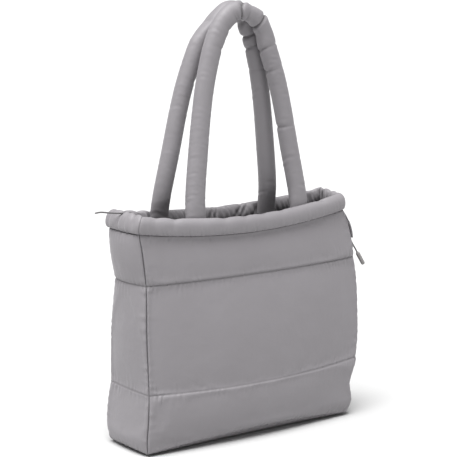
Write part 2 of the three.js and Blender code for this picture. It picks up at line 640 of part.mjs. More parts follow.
const tote = new THREE.Group();
tote.add(basePanel());
for (const faceName of ["front", "back", "left", "right"]) {
  tote.add(wallPanel(FACES[faceName].isWide ? `${faceName}_panel` : `${faceName}_gusset`, FACES[faceName]));
  tote.add(rimLength(faceName));
}
tote.add(handle("front"), handle("back"));
tote.add(cord("left_cord", LEFT_CORD_POINTS), cord("right_cord", RIGHT_CORD_POINTS));
tote.add(keeperTab(), cordEnd());

export default tote;
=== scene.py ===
"""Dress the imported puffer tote: quilted walls, stuffed rim and handles, drawcord, studio and camera.

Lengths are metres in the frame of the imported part. The origin is the middle of the footprint, the
front faces -Y and +Z is up.
"""

import logging
import math
from collections.abc import Sequence
from dataclasses import dataclass, field
from enum import Enum

import bmesh
import bpy
import numpy as np
from mathutils import Matrix, Vector


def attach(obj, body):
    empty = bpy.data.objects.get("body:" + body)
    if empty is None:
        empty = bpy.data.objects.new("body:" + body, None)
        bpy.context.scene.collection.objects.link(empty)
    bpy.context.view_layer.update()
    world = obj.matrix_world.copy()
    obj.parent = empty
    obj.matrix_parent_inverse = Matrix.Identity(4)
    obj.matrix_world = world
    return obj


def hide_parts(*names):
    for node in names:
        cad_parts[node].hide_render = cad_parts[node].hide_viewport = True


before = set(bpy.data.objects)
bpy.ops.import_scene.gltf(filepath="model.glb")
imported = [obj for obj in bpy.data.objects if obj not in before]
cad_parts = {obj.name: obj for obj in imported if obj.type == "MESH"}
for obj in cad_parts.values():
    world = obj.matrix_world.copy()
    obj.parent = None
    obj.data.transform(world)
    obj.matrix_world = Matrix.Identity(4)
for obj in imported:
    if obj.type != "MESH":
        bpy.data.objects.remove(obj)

Array = np.ndarray
Colour = tuple[float, float, float]
Point = tuple[float, float, float]

LOG = logging.getLogger("tote")
BODY = "root"


class Slot(Enum):
    """The record's material slots."""

    NYLON = "puffer_nylon"
    CORD = "drawcord"
    MOULDED = "cord_end"


class Skin(Enum):
    """The two skins of a padded wall."""

    OUTER = 0
    INNER = 1


class SmoothTable:
    """Columns of numbers, each read on a smooth curve through its rows."""

    def __init__(self, columns: Sequence[str], rows: Sequence[Sequence[float]]) -> None:
        """Keep the rows; the first column is the one that is looked up.

        Args:
            columns: The columns' names.
            rows: The rows' numbers, in rising order of the first column.
        """
        values = np.array(rows, float)
        self.key = values[:, 0]
        self.columns = {name: values[:, i] for i, name in enumerate(columns)}

    def read(self, column: str, share: Array) -> Array:
        """Read a column at any shares.

        Args:
            column: The column's name.
            share: Where to read, in the first column's terms.

        Returns:
            The column's values there.
        """
        values, key = self.columns[column], self.key
        last = len(key) - 1
        at = np.clip(share, key[0], key[-1])
        upper = np.clip(np.searchsorted(key, at), 1, last)
        lower = upper - 1

        def slope(index: Array) -> Array:
            """The curve's slope at a row."""
            before, after = np.maximum(index - 1, 0), np.minimum(index + 1, last)
            return (values[after] - values[before]) / (key[after] - key[before])

        span = key[upper] - key[lower]
        t = (at - key[lower]) / span
        ease = t * t * (3 - 2 * t)
        level = values[lower] * (1 - ease) + values[upper] * ease
        return level + span * t * (1 - t) * (slope(lower) * (1 - t) - slope(upper) * t)


@dataclass(frozen=True)
class Corner:
    """A corner seam of the body: its columns in the table of sections, and its side of each axis."""

    x: str
    depth: str
    side_x: int
    side_y: int


@dataclass(frozen=True)
class Face:
    """A face of the body, from its first corner seam to its second as the body is walked round."""

    name: str
    start: Corner
    end: Corner
    outward: Point
    bow: str
    sag: str
    is_wide: bool


FRONT_LEFT = Corner("front_left", "left_depth", -1, -1)
FRONT_RIGHT = Corner("front_right", "right_depth", 1, -1)
BACK_RIGHT = Corner("back_right", "right_depth", 1, 1)
BACK_LEFT = Corner("back_left", "left_depth", -1, 1)

FRONT = Face("front", FRONT_LEFT, FRONT_RIGHT, (0, -1, 0), "front_bow", "front_sag", True)
RIGHT = Face("right", FRONT_RIGHT, BACK_RIGHT, (1, 0, 0), "right_bow", "end_sag", False)
BACK = Face("back", BACK_RIGHT, BACK_LEFT, (0, 1, 0), "back_bow", "back_sag", True)
LEFT = Face("left", BACK_LEFT, FRONT_LEFT, (-1, 0, 0), "left_bow", "end_sag", False)
FACES = (FRONT, RIGHT, BACK, LEFT)

# The body's shape at a few heights, as in the part's source. Heights are shares of the body's height,
# corners of half its width, depths of its depth, bows of the face bow and sags of the seam sag.
SECTIONS = SmoothTable(
    ("height", "front_left", "front_right", "back_left", "back_right", "left_depth", "right_depth",
     "front_bow", "back_bow", "left_bow", "right_bow", "front_sag", "back_sag", "end_sag"),
    (
        (0.0, 1.0, 0.96, 1.01, 0.97, 0.93, 0.93, 0.35, 0.35, 0.15, 0.2, -0.92, -0.8, -0.18),
        (0.07, 1.01, 1.0, 1.027, 1.0, 0.97, 0.97, 0.65, 0.6, 0.15, 0.25, -0.25, -0.2, -0.05),
        (0.15, 1.0, 0.975, 1.018, 0.99, 0.99, 0.97, 0.9, 0.8, 0.1, 0.3, 0.15, 0.1, 0.0),
        (0.26, 0.995, 1.05, 0.995, 1.01, 0.99, 0.98, 1.0, 0.9, 0.1, 0.28, 0.32, 0.2, 0.0),
        (0.5, 0.99, 1.068, 0.985, 1.03, 0.88, 0.88, 0.95, 0.8, 0.3, 0.28, 0.15, 0.15, 0.0),
        (0.712, 0.975, 1.055, 0.975, 1.035, 0.78, 0.78, 0.75, 0.6, 0.4, 0.28, 0.05, 0.15, 0.0),
        (0.85, 1.0, 0.995, 1.01, 1.02, 0.75, 0.72, 0.7, 0.5, 0.4, 0.3, 0.55, 0.6, 0.0),
        (0.93, 1.022, 0.955, 1.035, 1.03, 0.73, 0.69, 0.7, 0.4, 0.18, 0.15, 1.0, 1.0, 0.0),
        (1.0, 1.005, 0.945, 1.015, 1.035, 0.76, 0.69, 0.7, 0.4, 0.1, 0.1, 1.0, 1.0, 0.0),
    ),
)


def dome(share: Array, firmness: float) -> Array:
    """How far padding has risen at a share of the way between two seams, from 0 at a seam to 1."""
    from_middle = np.minimum(1, np.abs(2 * np.asarray(share, float) - 1))
    return (1 - from_middle**firmness) ** (1 / firmness)


def hollow(distance: Array, reach: float) -> Array:
    """A round-bottomed dip: 1 in its middle, fading to 0 over about its reach."""
    return np.exp(-((distance / reach) ** 2))


@dataclass(frozen=True)
class ToteForm:
    """The body's named sizes, and where its skin and its seams lie."""

    width: float = 0.400
    depth: float = 0.112
    base_seam: float = 0.004
    channels: Point = (0.094, 0.168, 0.080)
    bow: float = 0.020
    sag: float = 0.015
    seam_thickness: float = 0.003
    joint: float = 0.00001
    puff_out: float = 0.007
    puff_in: float = 0.004
    panel_firmness: float = 2.2
    wide_firmness: float = 4.0
    rim_height: float = 0.027
    rim_thickness: float = 0.019

    @property
    def seams(self) -> Array:
        """The heights of the base seam, the two quilting seams and the rim seam."""
        return self.base_seam + np.concatenate([[0], np.cumsum(self.channels)])

    @property
    def rim_seam(self) -> float:
        """The height of the seam between the walls and the rim."""
        return float(self.seams[-1])

    @property
    def height(self) -> float:
        """The body's height, rim included."""
        return self.rim_seam + self.rim_height

    def section(self, column: str, height: Array) -> Array:
        """A column of the table of sections at some heights."""
        return SECTIONS.read(column, np.asarray(height, float) / self.height)

    def corner(self, corner: Corner, height: Array, offset: Array) -> Array:
        """Points on a corner seam, moved out from both of its faces by offset."""
        x = self.section(corner.x, height) * self.width / 2
        y = self.section(corner.depth, height) * self.depth / 2
        return np.stack([corner.side_x * (x + offset), corner.side_y * (y + offset), height + 0 * x], -1)

    def skin(self, face: Face, along: Array, height: Array, offset: Array) -> Array:
        """Points of a face.

        Args:
            face: The face.
            along: Shares of the way between the face's corners.
            height: Heights before the face sags.
            offset: How far outwards from the seam line.

        Returns:
            One point for each share, height and offset.
        """
        along, height, offset = np.broadcast_arrays(along, height, offset)
        start = self.corner(face.start, height, offset)
        end = self.corner(face.end, height, offset)
        arch = 4 * along * (1 - along)
        points = start + (end - start) * along[..., None]
        points = points + (arch * self.bow * self.section(face.bow, height))[..., None] * np.array(face.outward)
        points[..., 2] -= arch * self.sag * self.section(face.sag, height)
        return points

    def run(self, face: Face, height: float) -> float:
        """A face's length between its corners at a height."""
        ends = [self.corner(corner, np.array(height), 0.0) for corner in (face.start, face.end)]
        return float(np.linalg.norm(ends[1] - ends[0]))


class Route:
    """A smooth line through a few points, measured along its length."""

    def __init__(self, points: Array, fineness: int = 24) -> None:
        """Run a centripetal Catmull-Rom curve through the points.

        Args:
            points: The points in order.
            fineness: How many steps there are from one point to the next.
        """
        points = np.asarray(points, float)
        ends = (2 * points[0] - points[1], 2 * points[-1] - points[-2])
        knots = np.vstack([ends[0], points, ends[1]])
        line = [self._span(knots[i : i + 4], np.linspace(0, 1, fineness, endpoint=False)) for i in range(len(points) - 1)]
        self.points = np.vstack([*line, points[-1:]])
        steps = np.linalg.norm(np.diff(self.points, axis=0), axis=1)
        self.walked = np.concatenate([[0], np.cumsum(steps)])
        self.length = float(self.walked[-1])

    @staticmethod
    def _span(knots: Array, t: Array) -> Array:
        """Points between the middle two of four knots, at shares of the way between them."""
        gaps = np.linalg.norm(np.diff(knots, axis=0), axis=1) ** 0.5
        tangents = []
        for before, here, after, gap, next_gap in (
            (knots[0], knots[1], knots[2], gaps[0], gaps[1]),
            (knots[1], knots[2], knots[3], gaps[1], gaps[2]),
        ):
            bend = (here - before) / gap - (after - before) / (gap + next_gap) + (after - here) / next_gap
            tangents.append(bend * gaps[1])
        t = t[:, None]
        ease = t * t * (3 - 2 * t)
        level = knots[1] * (1 - ease) + knots[2] * ease
        return level + t * (1 - t) * (tangents[0] * (1 - t) - tangents[1] * t)

    def at(self, share: Array) -> Array:
        """Points at shares of the route's length."""
        distance = np.asarray(share, float) * self.length
        return np.stack([np.interp(distance, self.walked, self.points[:, axis]) for axis in range(3)], -1)

    def heading(self, share: Array) -> Array:
        """Unit directions along the route at shares of its length."""
        reach = 0.004
        ahead = self.at(np.clip(np.asarray(share) + reach, 0, 1)) - self.at(np.clip(np.asarray(share) - reach, 0, 1))
        return ahead / np.linalg.norm(ahead, axis=-1, keepdims=True)


def read_points(mesh: bpy.types.Mesh) -> Array:
    """A mesh's points as an array of rows."""
    points = np.zeros(len(mesh.vertices) * 3)
    mesh.vertices.foreach_get("co", points)
    return points.reshape(-1, 3)


def write_points(mesh: bpy.types.Mesh, points: Array) -> None:
    """Put a mesh's points at new places."""
    mesh.vertices.foreach_set("co", np.ascontiguousarray(points, np.float32).ravel())
    mesh.update()


def read_mark(mesh: bpy.types.Mesh, name: str) -> Array:
    """A number that each of a mesh's points carries."""
    values = np.zeros(len(mesh.vertices), np.float32)
    mesh.attributes[name].data.foreach_get("value", values)
    return values.astype(float)


def write_mark(mesh: bpy.types.Mesh, name: str, values: Array) -> None:
    """Give each of a mesh's points a number that materials can read."""
    mark = mesh.attributes.get(name) or mesh.attributes.new(name, "FLOAT", "POINT")
    mark.data.foreach_set("value", np.ascontiguousarray(values, np.float32))


def normals_of(mesh: bpy.types.Mesh) -> Array:
    """Unit normals at a mesh's points."""
    normals = np.zeros(len(mesh.vertices) * 3, np.float32)
    mesh.vertex_normals.foreach_get("vector", normals)
    return normals.reshape(-1, 3).astype(float)


def spread_uv(mesh: bpy.types.Mesh, name: str, along: Array, across: Array, girth: float = 0.0) -> None:
    """Lay a mesh out flat, in metres, as its cloth was cut.

    Args:
        mesh: The mesh.
        name: The UV map's name.
        along: Each point's place along the cloth.
        across: Each point's place across it.
        girth: The way round, where the cloth is a tube and across starts again at its join.
    """
    corner_points = np.zeros(len(mesh.loops), np.int32)
    mesh.loops.foreach_get("vertex_index", corner_points)
    starts = np.zeros(len(mesh.polygons), np.int32)
    mesh.polygons.foreach_get("loop_start", starts)
    flat = np.stack([along[corner_points], across[corner_points]], -1)
    if girth > 0:
        widest = np.repeat(np.maximum.reduceat(flat[:, 1], starts), np.diff(np.append(starts, len(flat))))
        flat[:, 1] += np.where(widest - flat[:, 1] > girth / 2, girth, 0)
    layer = mesh.uv_layers.get(name) or mesh.uv_layers.new(name=name)
    layer.data.foreach_set("uv", np.ascontiguousarray(flat, np.float32).ravel())


def as_piece(name: str, shape: bmesh.types.BMesh) -> bpy.types.Object:
    """Turn a finished bmesh into an object of the scene.

    Args:
        name: The object's name.
        shape: The bmesh, which is freed.

    Returns:
        The object, at the origin and shaded smooth.
    """
    mesh = bpy.data.meshes.new(name)
    shape.to_mesh(mesh)
    shape.free()
    mesh.shade_smooth()
    piece = bpy.data.objects.new(name, mesh)
    bpy.context.scene.collection.objects.link(piece)
    return piece


def dress(piece: bpy.types.Object, slot: Slot, material: bpy.types.Material, *nodes: str) -> bpy.types.Object:
    """Give a piece its material and its body, in place of its CAD nodes.

    Args:
        piece: The piece.
        slot: Not used.
        material: Its material.
        *nodes: The CAD nodes that it stands for.

    Returns:
        The piece.
    """
    piece.data.materials.clear()
    piece.data.materials.append(material)
    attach(piece, BODY)
    if nodes:
        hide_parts(*nodes)
    return piece


def refine(piece: bpy.types.Object, levels: int = 1) -> None:
    """Divide a piece's faces smoothly and keep the finer mesh."""
    finer = piece.modifiers.new("Finer", "SUBSURF")
    finer.levels = finer.render_levels = levels
    finer.boundary_smooth = "PRESERVE_CORNERS"
    finer.use_limit_surface = False
    bpy.context.view_layer.update()
    depsgraph = bpy.context.evaluated_depsgraph_get()
    shown = piece.evaluated_get(depsgraph)
    mesh = bpy.data.meshes.new_from_object(shown, preserve_all_data_layers=True, depsgraph=depsgraph)
    coarse = piece.data
    piece.modifiers.clear()
    piece.data = mesh
    mesh.name = piece.name
    bpy.data.meshes.remove(coarse)
    mesh.shade_smooth()


def put_in_order(shape: bmesh.types.BMesh, columns: int, rows: int) -> None:
    """Number a slab's parts by their places, because an extrusion leaves them in no fixed order.

    Args:
        shape: The slab, still one unit long, wide and thick.
        columns: How many columns of faces it has.
        rows: How many rows of faces it has.
    """

    def number(place: Vector) -> int:
        """A number that rises along the columns, the rows and the skins."""
        x, y = round((place.x + 0.5) * 2 * columns), round((place.y + 0.5) * 2 * rows)
        return (round(place.z * 2) * 2 * (rows + 1) + y) * 2 * (columns + 1) + x

    shape.verts.sort(key=lambda vert: number(vert.co))
    shape.edges.sort(key=lambda edge: number((edge.verts[0].co + edge.verts[1].co) / 2))
    shape.faces.sort(key=lambda face: number(face.calc_center_median()))
    for parts in (shape.verts, shape.edges, shape.faces):
        parts.index_update()


def slab(across: Array, levels: Array) -> bmesh.types.BMesh:
    """A closed slab of two skins over one grid, whose points carry their place in it.

    Args:
        across: The shares of the grid's columns.
        levels: The levels of its rows.

    Returns:
        The slab, with the marks across, level and skin on its points.
    """
    shape = bmesh.new()
    marks = {name: shape.verts.layers.float.new(name) for name in ("across", "level", "skin")}
    columns, rows = len(across) - 1, len(levels) - 1
    bmesh.ops.create_grid(shape, x_segments=columns, y_segments=rows, size=0.5)
    for vert in shape.verts:
        vert[marks["across"]] = across[round((vert.co.x + 0.5) * columns)]
        vert[marks["level"]] = levels[round((vert.co.y + 0.5) * rows)]
        vert[marks["skin"]] = Skin.OUTER.value
    grown = bmesh.ops.extrude_face_region(shape, geom=shape.faces[:], use_keep_orig=True)
    inner = [item for item in grown["geom"] if isinstance(item, bmesh.types.BMVert)]
    for vert in inner:
        vert[marks["skin"]] = Skin.INNER.value
    bmesh.ops.translate(shape, verts=inner, vec=(0, 0, 1))
    put_in_order(shape, columns, rows)
    return shape


def tube(sides: int, steps: int, crisp: float = 0.0) -> bmesh.types.BMesh:
    """A closed tube one unit long, whose points carry their place round it and along it.

    Args:
        sides: How many sides it has.
        steps: How many lengths it is divided into.
        crisp: How firmly the edges of its ends stay in place when it is refined, from 0 to 1.

    Returns:
        The tube, with the marks turn and along on its points.
    """
    shape = bmesh.new()
    turn, along = (shape.verts.layers.float.new(name) for name in ("turn", "along"))
    bmesh.ops.create_cone(
        shape, cap_ends=True, cap_tris=False, segments=sides, radius1=1, radius2=1, depth=1)
    lengthwise = [edge for edge in shape.edges if abs(edge.verts[0].co.z - edge.verts[1].co.z) > 0.5]
    bmesh.ops.subdivide_edges(shape, edges=lengthwise, cuts=steps - 1, use_grid_fill=True)
    for vert in shape.verts:
        angle = math.atan2(vert.co.y, vert.co.x) / math.tau
        vert[turn] = round(angle % 1.0 * sides) % sides / sides
        vert[along] = vert.co.z + 0.5
    held = shape.edges.layers.float.new("crease_edge")
    for edge in shape.edges:
        if abs(edge.verts[0].co.z + edge.verts[1].co.z) > 0.999:
            edge[held] = crisp
    return shape


def close_at_seams(start: float, end: float, count: int, pull: float) -> Array:
    """Places from start to end, drawn closer together at both ends by pull, from 0 to 1."""
    share = np.linspace(0, 1, count + 1)
    return start + (end - start) * (share - pull * np.sin(math.tau * share) / math.tau)


class Ripple:
    """A seeded wavy line with no repeat that shows, between about -1 and 1."""

    def __init__(self, seed: int, shortest: float, longest: float, waves: int = 14) -> None:
        """Mix waves of different lengths.

        Args:
            seed: What the mix is drawn from.
            shortest: The shortest wave's length.
            longest: The longest wave's length.
            waves: How many waves are mixed.
        """
        draw = np.random.default_rng(seed)
        lengths = np.exp(draw.uniform(math.log(shortest), math.log(longest), waves))
        self.rates = math.tau / lengths
        self.phases = draw.uniform(0, math.tau, waves)
        self.strength = 1.6 / math.sqrt(waves)

    def at(self, place: Array) -> Array:
        """The line's height at some places."""
        total = np.zeros_like(np.asarray(place, float))
        for rate, phase in zip(self.rates, self.phases):
            total += np.sin(rate * place + phase)
        return total * self.strength


@dataclass(frozen=True)
class Stuffing:
    """How a stuffed piece is let settle as cloth, and how far its points may go."""

    pressure: float = 4.0
    tension: float = 20.0
    bending: float = 1.0
    reach: float = 0.004


@dataclass
class SettlingTable:
    """Where all the stuffed pieces settle together, so that the frames are stepped through once."""

    frames: int = 16
    quality: int = 5
    laid: list[tuple[bpy.types.Object, Stuffing]] = field(default_factory=list)

    def lay(self, piece: bpy.types.Object, sewn: Array, cut: Array, stuffing: Stuffing) -> None:
        """Put a piece on the table.

        Args:
            piece: The piece, in its drawn shape.
            sewn: How firmly each of its points is held, from 0 to 1.
            cut: Where its points would be if its cloth weren't gathered.
            stuffing: How it settles.
        """
        group = piece.vertex_groups.new(name="sewn")
        for hold in np.unique(np.round(sewn, 2)):
            if hold > 0:
                held = np.flatnonzero(np.round(sewn, 2) == hold)
                group.add([int(i) for i in held], float(hold), "REPLACE")
        piece.shape_key_add(name="drawn")
        key = piece.shape_key_add(name="cut")
        key.data.foreach_set("co", np.ascontiguousarray(cut, np.float32).ravel())
        key.value = 0
        cloth = piece.modifiers.new("Settle", "CLOTH")
        settings = cloth.settings
        settings.quality = self.quality
        settings.mass = 0.15
        settings.air_damping = 2.0
        settings.tension_stiffness = settings.compression_stiffness = stuffing.tension
        settings.shear_stiffness = stuffing.tension / 2
        settings.bending_stiffness = stuffing.bending
        settings.tension_damping = settings.compression_damping = settings.shear_damping = 10
        settings.bending_damping = 1
        settings.vertex_group_mass = "sewn"
        settings.pin_stiffness = 1
        settings.rest_shape_key = key
        settings.use_pressure = True
        settings.uniform_pressure_force = stuffing.pressure
        settings.effector_weights.gravity = 0
        cloth.collision_settings.use_collision = False
        cloth.point_cache.frame_start, cloth.point_cache.frame_end = 1, self.frames
        self.laid.append((piece, stuffing))

    def settle(self) -> None:
        """Step through the frames, and keep each piece as it lies at the end."""
        for number in range(1, self.frames + 1):
            bpy.context.scene.frame_set(number)
        for piece, stuffing in self.laid:
            self._keep(piece, stuffing)
        bpy.context.scene.frame_set(1)
        self.laid.clear()

    @staticmethod
    def _keep(piece: bpy.types.Object, stuffing: Stuffing) -> None:
        """Move a piece's points to where they settled, each no further than the stuffing's reach."""
        drawn = read_points(piece.data)
        settled = drawn
        shown = piece.evaluated_get(bpy.context.evaluated_depsgraph_get())
        settled = read_points(shown.to_mesh())
        shown.to_mesh_clear()
        piece.modifiers.clear()
        piece.shape_key_clear()
        piece.vertex_groups.clear()
        move = settled - drawn
        far = np.linalg.norm(move, axis=1, keepdims=True)
        eased = stuffing.reach * np.tanh(far / stuffing.reach)
        write_points(piece.data, drawn + move * eased / np.maximum(far, 1e-9))
        LOG.info("%s settled, moving %.1f mm at most", piece.name, float(far.max()) * 1000)


class NodeBench:
    """A material's nodes, added and linked in short calls."""

    def __init__(self, name: str) -> None:
        """Start a material with only a Principled shader and its output."""
        self.material = bpy.data.materials.new(name)
        self.material.use_nodes = True
        self.tree = self.material.node_tree
        self.shader = self.tree.nodes["Principled BSDF"]

    def add(self, kind: str, **settings: object) -> bpy.types.Node:
        """Add a node of a kind, with its settings."""
        node = self.tree.nodes.new(kind)
        for name, value in settings.items():
            setattr(node, name, value)
        return node

    def feed(self, source: bpy.types.NodeSocket, node: bpy.types.Node, socket: str | int) -> None:
        """Link an output to a node's input."""
        self.tree.links.new(source, node.inputs[socket])

    def maths(self, operation: str, first: object, second: object = 0.5) -> bpy.types.NodeSocket:
        """Add a Math node whose inputs are sockets or numbers, and return its output."""
        node = self.add("ShaderNodeMath", operation=operation)
        for place, value in enumerate((first, second)):
            if isinstance(value, bpy.types.NodeSocket):
                self.feed(value, node, place)
            else:
                node.inputs[place].default_value = value
        return node.outputs[0]

    def stretched(self, source: bpy.types.NodeSocket, scale: Point) -> bpy.types.NodeSocket:
        """Scale coordinates by a Mapping node."""
        node = self.add("ShaderNodeMapping")
        node.inputs["Scale"].default_value = scale
        self.feed(source, node, "Vector")
        return node.outputs["Vector"]

    def noise(self, source: bpy.types.NodeSocket, scale: float, detail: float, rough: float = 0.5) -> bpy.types.NodeSocket:
        """Add a noise pattern and return its factor."""
        node = self.add("ShaderNodeTexNoise")
        node.inputs["Scale"].default_value = scale
        node.inputs["Detail"].default_value = detail
        node.inputs["Roughness"].default_value = rough
        self.feed(source, node, "Vector")
        return node.outputs["Fac"]

    def bands(self, source: bpy.types.NodeSocket, direction: str, pitch: float) -> bpy.types.NodeSocket:
        """Add soft bands a pitch apart, in metres, and return their factor."""
        node = self.add("ShaderNodeTexWave", wave_type="BANDS", bands_direction=direction)
        node.inputs["Scale"].default_value = math.pi / 10 / pitch
        self.feed(source, node, "Vector")
        return node.outputs["Fac"]

    def mark(self, name: str) -> bpy.types.NodeSocket:
        """Read a number that the mesh's points carry."""
        return self.add("ShaderNodeAttribute", attribute_name=name).outputs["Fac"]

    def bump(self, height: bpy.types.NodeSocket, distance: float, strength: float, under: bpy.types.Node | None) -> bpy.types.Node:
        """Add a bump over the one before it."""
        node = self.add("ShaderNodeBump")
        node.inputs["Distance"].default_value = distance
        node.inputs["Strength"].default_value = strength
        self.feed(height, node, "Height")
        if under:
            self.feed(under.outputs["Normal"], node, "Normal")
        return node

    def set(self, **values: object) -> None:
        """Set the shader's own sockets; underscores stand for spaces."""
        for name, value in values.items():
            self.shader.inputs[name.replace("_", " ")].default_value = value


@dataclass(frozen=True)
class PuffedNylon:
    """Fine plain-woven nylon with a soft satin look, with painted shade making it a little darker down in its seams,
    creases and folds.
    """

    name: str = "puffed_nylon"
    light: Colour = (0.236, 0.225, 0.238)
    dark: Colour = (0.209, 0.198, 0.209)
    # How far the painted shade in seams, creases and folds darkens the nylon.
    seam_shade: float = 0.42
    thread_pitch: float = 0.00045
    roughness: float = 0.54
    sheen: float = 0.2

    def material(self) -> bpy.types.Material:
        """Build the material.

        Returns:
            The material.
        """
        bench = NodeBench(self.name)
        places = bench.add("ShaderNodeTexCoord")
        solid, cut = places.outputs["Object"], places.outputs["UV"]
        cloudy = bench.noise(solid, 9.0, 3.0)
        ramp = bench.add("ShaderNodeMix", data_type="RGBA")
        ramp.inputs[6].default_value = (*self.dark, 1)
        ramp.inputs[7].default_value = (*self.light, 1)
        bench.feed(cloudy, ramp, 0)
        # Painted shade: the colour is multiplied towards seam_shade wherever the seam mark is set.
        shade = bench.add("ShaderNodeMix", data_type="RGBA", blend_type="MULTIPLY")
        shade.inputs[7].default_value = (self.seam_shade, self.seam_shade, self.seam_shade, 1)
        bench.feed(bench.mark("seam"), shade, 0)
        bench.feed(ramp.outputs[2], shade, 6)
        bench.feed(shade.outputs[2], bench.shader, "Base Color")

        warp = bench.bands(cut, "X", self.thread_pitch)
        weft = bench.bands(cut, "Y", self.thread_pitch)
        weave = bench.maths("MULTIPLY", warp, weft)
        dents = bench.noise(solid, 38.0, 2.0, 0.45)
        crumple = bench.noise(solid, 160.0, 3.0, 0.55)
        low = bench.bump(dents, 0.0022, 0.5, None)
        middle = bench.bump(crumple, 0.0004, 0.45, low)
        top = bench.bump(weave, 0.00006, 0.35, middle)
        bench.feed(top.outputs["Normal"], bench.shader, "Normal")

        glossy = bench.maths("MULTIPLY_ADD", bench.noise(solid, 70.0, 2.0), 0.14)
        glossy.node.inputs[2].default_value = self.roughness - 0.07
        bench.feed(glossy, bench.shader, "Roughness")
        bench.set(Sheen_Weight=self.sheen, Sheen_Roughness=0.45, Sheen_Tint=(0.9, 0.88, 0.92, 1),
                  Specular_IOR_Level=0.42, IOR=1.5)
        return bench.material


@dataclass(frozen=True)
class BraidedCord:
    """A thin round braid, dark grey, with painted shade between its strands."""

    name: str = "braided_cord"
    colour: Colour = (0.165, 0.158, 0.163)
    # The painted shade down between the braid's strands.
    dip: Colour = (0.085, 0.081, 0.084)
    strand_pitch: float = 0.0011

    def material(self) -> bpy.types.Material:
        """Build the material.

        Returns:
            The material.
        """
        bench = NodeBench(self.name)
        cut = bench.add("ShaderNodeTexCoord").outputs["UV"]
        turned = []
        for side in (-1, 1):
            node = bench.add("ShaderNodeMapping")
            node.inputs["Rotation"].default_value = (0, 0, side * math.radians(38))
            bench.feed(cut, node, "Vector")
            turned.append(bench.bands(node.outputs["Vector"], "X", self.strand_pitch))
        braid = bench.maths("MAXIMUM", turned[0], turned[1])
        # Painted shade: the colour darkens to dip down between the strands.
        tone = bench.add("ShaderNodeMix", data_type="RGBA")
        tone.inputs[6].default_value = (*self.dip, 1)
        tone.inputs[7].default_value = (*self.colour, 1)
        bench.feed(braid, tone, 0)
        bench.feed(tone.outputs[2], bench.shader, "Base Color")
        bump = bench.bump(braid, 0.00035, 0.8, None)
        bench.feed(bump.outputs["Normal"], bench.shader, "Normal")
        bench.set(Roughness=0.72, Sheen_Weight=0.2, Specular_IOR_Level=0.35)
        return bench.material


@dataclass(frozen=True)
class MouldedGrey:
    """Satin moulded plastic with a very fine grain."""

    name: str = "moulded_grey"
    colour: Colour = (0.275, 0.265, 0.262)

    def material(self) -> bpy.types.Material:
        """Build the material.

        Returns:
            The material.
        """
        bench = NodeBench(self.name)
        solid = bench.add("ShaderNodeTexCoord").outputs["Object"]
        grain = bench.noise(solid, 1800.0, 2.0)
        tone = bench.add("ShaderNodeMix", data_type="RGBA")
        tone.inputs[6].default_value = (*[c * 0.94 for c in self.colour], 1)
        tone.inputs[7].default_value = (*self.colour, 1)
        bench.feed(grain, tone, 0)
        bench.feed(tone.outputs[2], bench.shader, "Base Color")
        bump = bench.bump(grain, 0.00004, 0.3, None)
        bench.feed(bump.outputs["Normal"], bench.shader, "Normal")
        bench.set(Roughness=0.42, Specular_IOR_Level=0.45)
        return bench.material


@dataclass(frozen=True)
class SewingThread:
    """Twisted polyester thread, a little darker than the nylon."""

    name: str = "sewing_thread"
    colour: Colour = (0.19, 0.18, 0.187)

    def material(self) -> bpy.types.Material:
        """Build the material.

        Returns:
            The material.
        """
        bench = NodeBench(self.name)
        solid = bench.add("ShaderNodeTexCoord").outputs["Object"]
        ply = bench.noise(solid, 900.0, 1.0)
        tone = bench.add("ShaderNodeMix", data_type="RGBA")
        tone.inputs[6].default_value = (*[c * 0.8 for c in self.colour], 1)
        tone.inputs[7].default_value = (*self.colour, 1)
        bench.feed(ply, tone, 0)
        bench.feed(tone.outputs[2], bench.shader, "Base Color")
        bench.set(Roughness=0.6, Sheen_Weight=0.15)
        return bench.material


